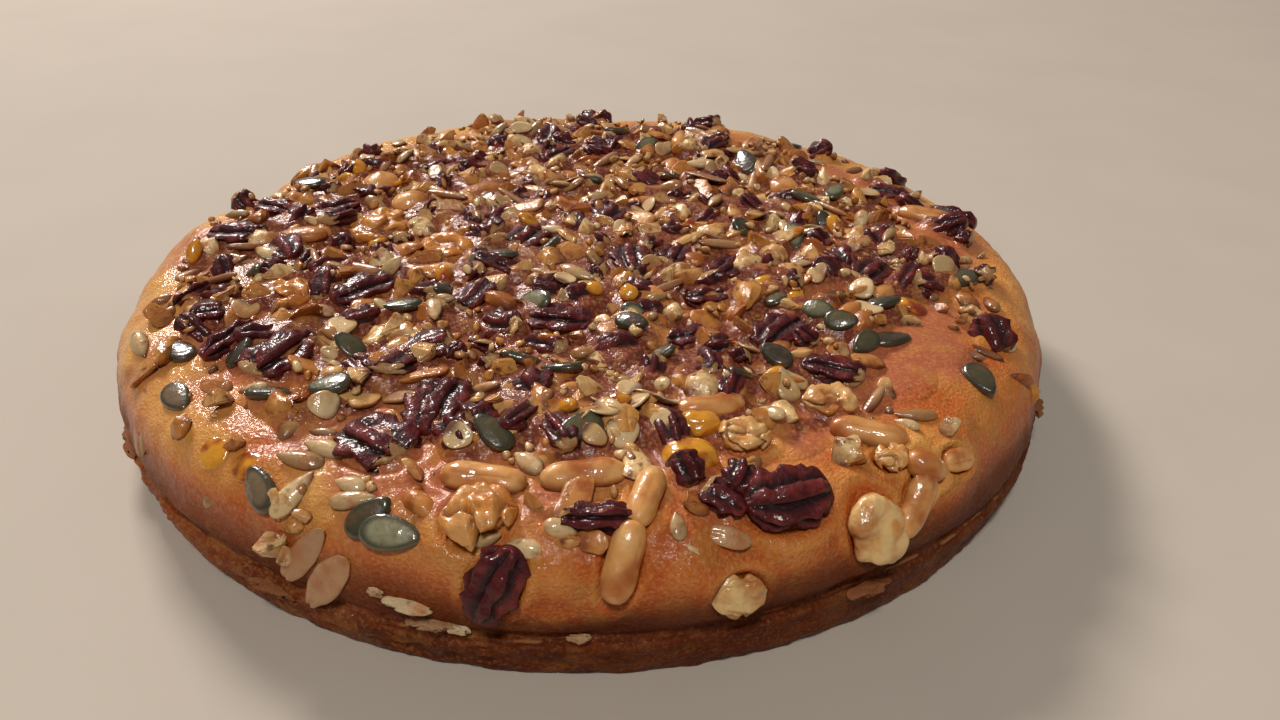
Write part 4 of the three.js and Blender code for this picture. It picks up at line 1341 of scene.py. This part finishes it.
# ---------------------------------------------------------------------------------------------
# Pumpkin seeds. Flat pointed ovals with a raised rim, from nearly black to grey-green, whole,
# most of them lying on the flat.
# ---------------------------------------------------------------------------------------------
PUMPKIN_SIZE = (11.0, 6.4, 3.3)
PUMPKIN_COUNT = 6
PUMPKIN_SPOTS = (
    (-96, -63, -35, 11, 0.1), (-45, -48, 5, 11, 0.6), (-35, -39, 62, 11, 0.2), (-12, -71, 5, 11, 0.1),
    (-3, -75, -10, 11, 0.1), (-15, -99, -35, 11, 0.55), (-37, -117.5, 40, 11, 0.5),
    (-32, -120.6, -12, 13.5, 0.95), (-67, -84, -10, 11, 0.45), (-89, -28, -50, 11, 1.2),
    (95, -69, -70, 11, 0.5), (77, -54, 10, 11, 0.3), (66, -34, 50, 10.5), (38, -74, 60, 10.5),
    (66, 27, -20, 10.5), (76, 32, 60, 10.5), (104, -20, 40, 10.5), (-92, 33, 0, 10.5), (5, 88, 20, 11, 0.5),
    (-89, -81, -50, 11, 1.4), (-61, -108.5, -70, 12, 1.4), (-34, 18, 1, 9), (-31, -22, 9, 9),
    (-23, -21, -1, 9), (16, 73, 40, 9), (50, 61, -77, 14), (-2, 38, -35, 9), (24, 41, 45, 9),
    (-11, -12, 70, 9), (45, 3, -31, 9), (70, 9, -64, 10), (-79, -68, 65, 9), (-53, -67, -27, 9),
    (14, -50, -29, 9), (13, -55, -21, 9), (20, -67, -19, 9), (78, -39, 6, 9), (60, -46, -28, 9),
    (65, -51, -14, 9), (70, -58, 40, 9), (47, -68, -35, 9), (3, -98, 32, 11),
)


def pumpkin_seed():
    """One pumpkin seed, from -1 to 1 each way, and where its raised rim is."""
    dirs, faces = ball(24, 16)
    along = dirs[:, 0]
    outward = np.hypot(along, dirs[:, 1])
    flat = np.sign(dirs[:, 2]) * (1 - np.minimum(outward, 1) ** 2.4) ** 0.55
    rim = 0.35 * hump(outward - 0.86, 0.07)
    shape = np.stack([along, dirs[:, 1] * (1 - 0.26 * along), flat * (0.85 + rim)], 1)
    return shape, faces, smooth_step(outward, 0.55, 0.85)


pumpkin_finish = new_finish(
    "glazed_pumpkin_seed",  # smooth dark green-grey skin, wet with glaze
    "#383023",
    (
        ("#5b5733", "tint", 0.35, 0.75, 1.0),
        ("#a3a07c", "tint", 0.8, 1.0, 1.0),
        ("#7b674c", "tint", 1.05, 1.4, 1.0),
        ("#34321a", "groove", 0.0, 0.8, 0.85),
        ("#6d4a2a", 3.0, 0.5, 0.7, 0.6),
        # darker near the crust and on the lower side: glaze and painted shade
        ("#6a2f1e", "sunk", 0.4, 1.0, 0.5),
    ),
    grain=(1.5, 0.2),
    film=(3.0, 0.3),
    Roughness=0.35,
    IOR=1.5,
    Coat_Weight=1.0,
    Coat_Roughness=0.05,
    Coat_IOR=1.5,
)
shapes = [pumpkin_seed()]
points, faces, layers = strew(
    draw, PUMPKIN_COUNT, shapes, PUMPKIN_SIZE, vary=0.08, tumble=0.12, sink=0.38, spots=PUMPKIN_SPOTS
)
pumpkin = make_piece("pumpkin_seeds", points, faces, pumpkin_finish, **layers)
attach(pumpkin, "root")
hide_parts("cake")

# ---------------------------------------------------------------------------------------------
# Oat flakes. Thin rolled flakes, pale, nearly round, with a crease down the middle.
# ---------------------------------------------------------------------------------------------
OAT_SIZE = (7.2, 6.0, 1.0)
OAT_COUNT = 40
OAT_SPOTS = (
    (2, -94, 10, 7), (8, -92, 50, 7), (12, -97, 80, 8), (14, -89, 20, 7), (20, -95, 130, 7),
    (6, -100, 160, 6), (17, -84, 60, 8), (7, -87, -27, 6), (13, -83, -7, 6), (15, -88, 19, 6),
    (11, -91, -53, 6), (21, -87, 16, 6), (-22, -101, 50, 6), (88, 37, 85, 8), (99, -18, 111, 8),
)


def oat_flake(draw):
    """A thin wavy flake, from -1 to 1 each way."""
    dirs, faces = ball(18, 12)
    outward = np.minimum(np.hypot(dirs[:, 0], dirs[:, 1]), 1)
    ragged = 1 + 0.07 * np.sin(3 * np.arctan2(dirs[:, 1], dirs[:, 0]) + 6 * draw.random())
    thick = np.sign(dirs[:, 2]) * (1 - outward**6) ** 0.5
    crease = hump(dirs[:, 1], 0.12) * (1 - outward)
    wave = 0.9 * np.sin(2.2 * dirs[:, 0] + 6 * draw.random()) - 0.8 * crease
    return np.stack([dirs[:, 0] * ragged, dirs[:, 1] * ragged, thick + wave], 1), faces


oat_finish = new_finish(
    "glazed_oat_flake",  # dull pale flake with a little glaze on it
    "#decaa0",
    (("#c2a26c", "tint", 0.0, 1.0, 1.0), ("#e0cda4", 2.0, 0.5, 0.8, 0.8)) + (GLAZE_PATCH, GLAZE_AND_SHADE_LOW),
    grain=(1.0, 0.15),
    film=(2.0, 0.3),
    Roughness=0.5,
    IOR=1.45,
    **HONEY_GLAZE,
)
flakes = [oat_flake(draw) for _ in range(6)]
points, faces, layers = strew(
    draw, OAT_COUNT, flakes, OAT_SIZE, vary=0.2, tumble=0.2, sink=0.6, spots=OAT_SPOTS
)
oats = make_piece("oat_flakes", points, faces, oat_finish, **layers)
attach(oats, "root")
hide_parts("cake")

# ---------------------------------------------------------------------------------------------
# Amber bits of fruit and crumbs of nut, the smallest of the toppings, caught between the rest.
# ---------------------------------------------------------------------------------------------
AMBER_SIZE = (6.5, 5.2, 3.6)
AMBER_COUNT = 14
AMBER_SPOTS = (
    (-80, 38, -67, 10), (59, -1, -45, 6), (3, -38, -6, 5), (12, -40, 3, 5), (-7, -63, 31, 5),
    (0, -90, -55, 6), (87, -35, 41, 10), (46, -74, 32, 6), (-80, 48, 20, 6),
)
POOL_SIZE = (9.0, 7.0, 1.8)
POOL_COUNT = 0  # none but those at the spots
POOL_SPOTS = ((-75, -98, -28, 10), (-66, -103, -10, 8))
CRUMB_SIZE = (2.7, 2.2, 1.8)
CRUMB_COUNT = 500
lumps = [candied_lump(7 + n, 16, 12) for n in range(5)]
points, faces, layers = strew(
    draw, AMBER_COUNT, lumps, AMBER_SIZE, vary=0.3, tumble=0.3, sink=0.2, spots=AMBER_SPOTS
)
amber_bits = make_piece("candied_bits", points, faces, candied_finish, **layers)
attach(amber_bits, "root")
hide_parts("cake")
points, faces, layers = strew(
    draw, POOL_COUNT, lumps, POOL_SIZE, vary=0.1, tumble=0.05, sink=-0.12, spots=POOL_SPOTS
)
pools = make_piece("candied_pools", points, faces, candied_finish, **layers)
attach(pools, "root")
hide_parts("cake")
grains = [worn_chunk(draw, 8, 6, 7) for _ in range(8)]
points, faces, layers = strew(draw, CRUMB_COUNT, grains, CRUMB_SIZE, vary=0.4, tumble=0.8, sink=0.3)
crumbs = make_piece("nut_crumbs", points, faces, chopped_nut_finish, **layers)
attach(crumbs, "root")
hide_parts("cake")

# ---------------------------------------------------------------------------------------------
# Sponge that rose between the toppings. In the oven it swelled up round them, and the honey
# glaze ran down into it and set, so each piece stands in a soft glossy rim.
# ---------------------------------------------------------------------------------------------
RIM_SPREADS = (0.9, 2.6)  # the sponge follows the pile, evened out over near and far
MOST_RISE = 4.0
RISEN_EDGE = 120  # the radius where it ends
wave_x = np.fft.fftfreq(len(axis), CELL)[:, None]
wave_y = np.fft.rfftfreq(len(axis), CELL)[None, :]
evened = []
for spread in RIM_SPREADS:
    kept = np.exp(-2 * (math.pi * spread) ** 2 * (wave_x**2 + wave_y**2))
    evened.append(np.fft.irfft2(np.fft.rfft2(pile - ground) * kept, pile.shape))
flat_plan = np.stack([plan_x.ravel(), plan_y.ravel(), 0 * plan_x.ravel()], 1)
depth = np.minimum(0.42 * evened[0] + 0.46 * evened[1] - 0.6, MOST_RISE)
lumps = 0.35 * noise(flat_plan, 6.0, 41, 2) + 0.12 * noise(flat_plan, 2.0, 43)
depth = depth + lumps.reshape(depth.shape)
for x, y, reach in BARE_PLACES:
    away = np.hypot(plan_x - x, plan_y - y) / reach
    depth = np.maximum(depth, 0.2 * reach**0.8 * (1 - away**2))
depth = depth - 3 * smooth_step(np.hypot(plan_x, plan_y), 110, 119)
risen_z = ground + depth
wet = (depth > -1.1) & (np.hypot(plan_x, plan_y) < RISEN_EDGE)  # what is deeper lies under the crust's skin
number = -np.ones(wet.shape, int)
number[wet] = np.arange(wet.sum())
corners = np.stack([number[:-1, :-1], number[1:, :-1], number[1:, 1:], number[:-1, 1:]], -1).reshape(-1, 4)
faces = corners[(corners >= 0).all(1)]
points = np.stack([plan_x[wet], plan_y[wet], risen_z[wet]], 1)
used = np.unique(faces)
renumber = np.zeros(len(points), int)
renumber[used] = np.arange(len(used))
points = points[used]
rise = puff_rise(points[:, 0], points[:, 1])
layers = skin_layers(points, ground[wet][used], rise, np.clip(depth[wet][used] * 0.3, 0, 1))
# Painted shade: the glaze is darker where the toppings lie thick round it.
layers["dark"] = np.maximum(layers["dark"], layers["glazed"] * smooth_step(evened[1][wet][used], 1.3, 3.6))
risen = make_piece("risen_sponge", points, renumber[faces].tolist(), crust_finish, lip=0 * rise, **layers)
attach(risen, "root")
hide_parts("cake")

# ---------------------------------------------------------------------------------------------
# The floor, the light and the camera: a plain pale floor, one large soft light from the back
# left, and a weak even light all round.
# ---------------------------------------------------------------------------------------------
FLOOR_HALF = 3000.0 * MM
floor_corners = [(-FLOOR_HALF, -FLOOR_HALF, 0), (FLOOR_HALF, -FLOOR_HALF, 0)]
floor_corners += [(FLOOR_HALF, FLOOR_HALF, 0), (-FLOOR_HALF, FLOOR_HALF, 0)]
floor_mesh = bpy.data.meshes.new("floor")
floor_mesh.from_pydata(floor_corners, [], [(0, 1, 2, 3)])
floor_finish = new_finish(
    "matt_painted_floor",  # dull and nearly even, so that it takes no attention
    "#c6bbad",
    (("#c0b5a7", 60.0, 0.4, 0.7, 0.5),),
    grain=(2.0, 0.02),
    film=(2.0, 0.02),
    Roughness=0.85,
)
floor_mesh.materials.append(floor_finish)
floor = bpy.data.objects.new("floor", floor_mesh)
bpy.context.scene.collection.objects.link(floor)


def softbox(name, place, aim, width, height, watts, colour):
    """A rectangular light at a place, facing a point. Places are in millimetres."""
    lamp = bpy.data.lights.new(name, "AREA")
    lamp.shape = "RECTANGLE"
    lamp.size, lamp.size_y = width * MM, height * MM
    lamp.energy = watts
    lamp.color = linear(colour)[:3]
    holder = bpy.data.objects.new(name, lamp)
    bpy.context.scene.collection.objects.link(holder)
    back = np.array(place, float) - np.array(aim, float)
    back /= np.linalg.norm(back)
    right = np.cross([0, 0, 1], back)
    right /= np.linalg.norm(right)
    matrix = np.eye(4)
    matrix[:3, 0], matrix[:3, 1], matrix[:3, 2] = right, np.cross(back, right), back
    matrix[:3, 3] = np.array(place) * MM
    holder.matrix_world = Matrix(matrix.tolist())


softbox("window_light", (-1150, 1850, 1700), (0, 0, 20), 700, 600, 63.0, "#fff5ee")
softbox("room_light", (-100, -900, 1500), (0, 0, 20), 300, 300, 12.0, "#fffaf4")
world = bpy.data.worlds.new("studio")
world.use_nodes = True
world.node_tree.nodes["Background"].inputs["Color"].default_value = linear("#f2f0ee")
world.node_tree.nodes["Background"].inputs["Strength"].default_value = 0.15
bpy.context.scene.world = world
bpy.context.scene.view_settings.view_transform = "Standard"

CAMERA_AIM = (15.25, -5.88, 0.0)
CAMERA_DISTANCE = 308.0
CAMERA_ELEVATION = 31.83
CAMERA_ROLL = 1.38
LENS = 28.125  # on a sensor 36 mm wide
camera_data = bpy.data.cameras.new("camera")
camera_data.lens = LENS
camera_data.sensor_width = 36.0
camera_data.clip_start = 0.01
camera = bpy.data.objects.new("camera", camera_data)
bpy.context.scene.collection.objects.link(camera)
rise, roll = math.radians(CAMERA_ELEVATION), math.radians(CAMERA_ROLL)
back = np.array([0, -math.cos(rise), math.sin(rise)])
level_up = np.cross(back, [1, 0, 0])
right = np.array([1, 0, 0]) * math.cos(roll) + level_up * math.sin(roll)
up = level_up * math.cos(roll) - np.array([1, 0, 0]) * math.sin(roll)
matrix = np.eye(4)
matrix[:3, 0], matrix[:3, 1], matrix[:3, 2] = right, up, back
matrix[:3, 3] = (np.array(CAMERA_AIM) + back * CAMERA_DISTANCE) * MM
camera.matrix_world = Matrix(matrix.tolist())
bpy.context.scene.camera = camera
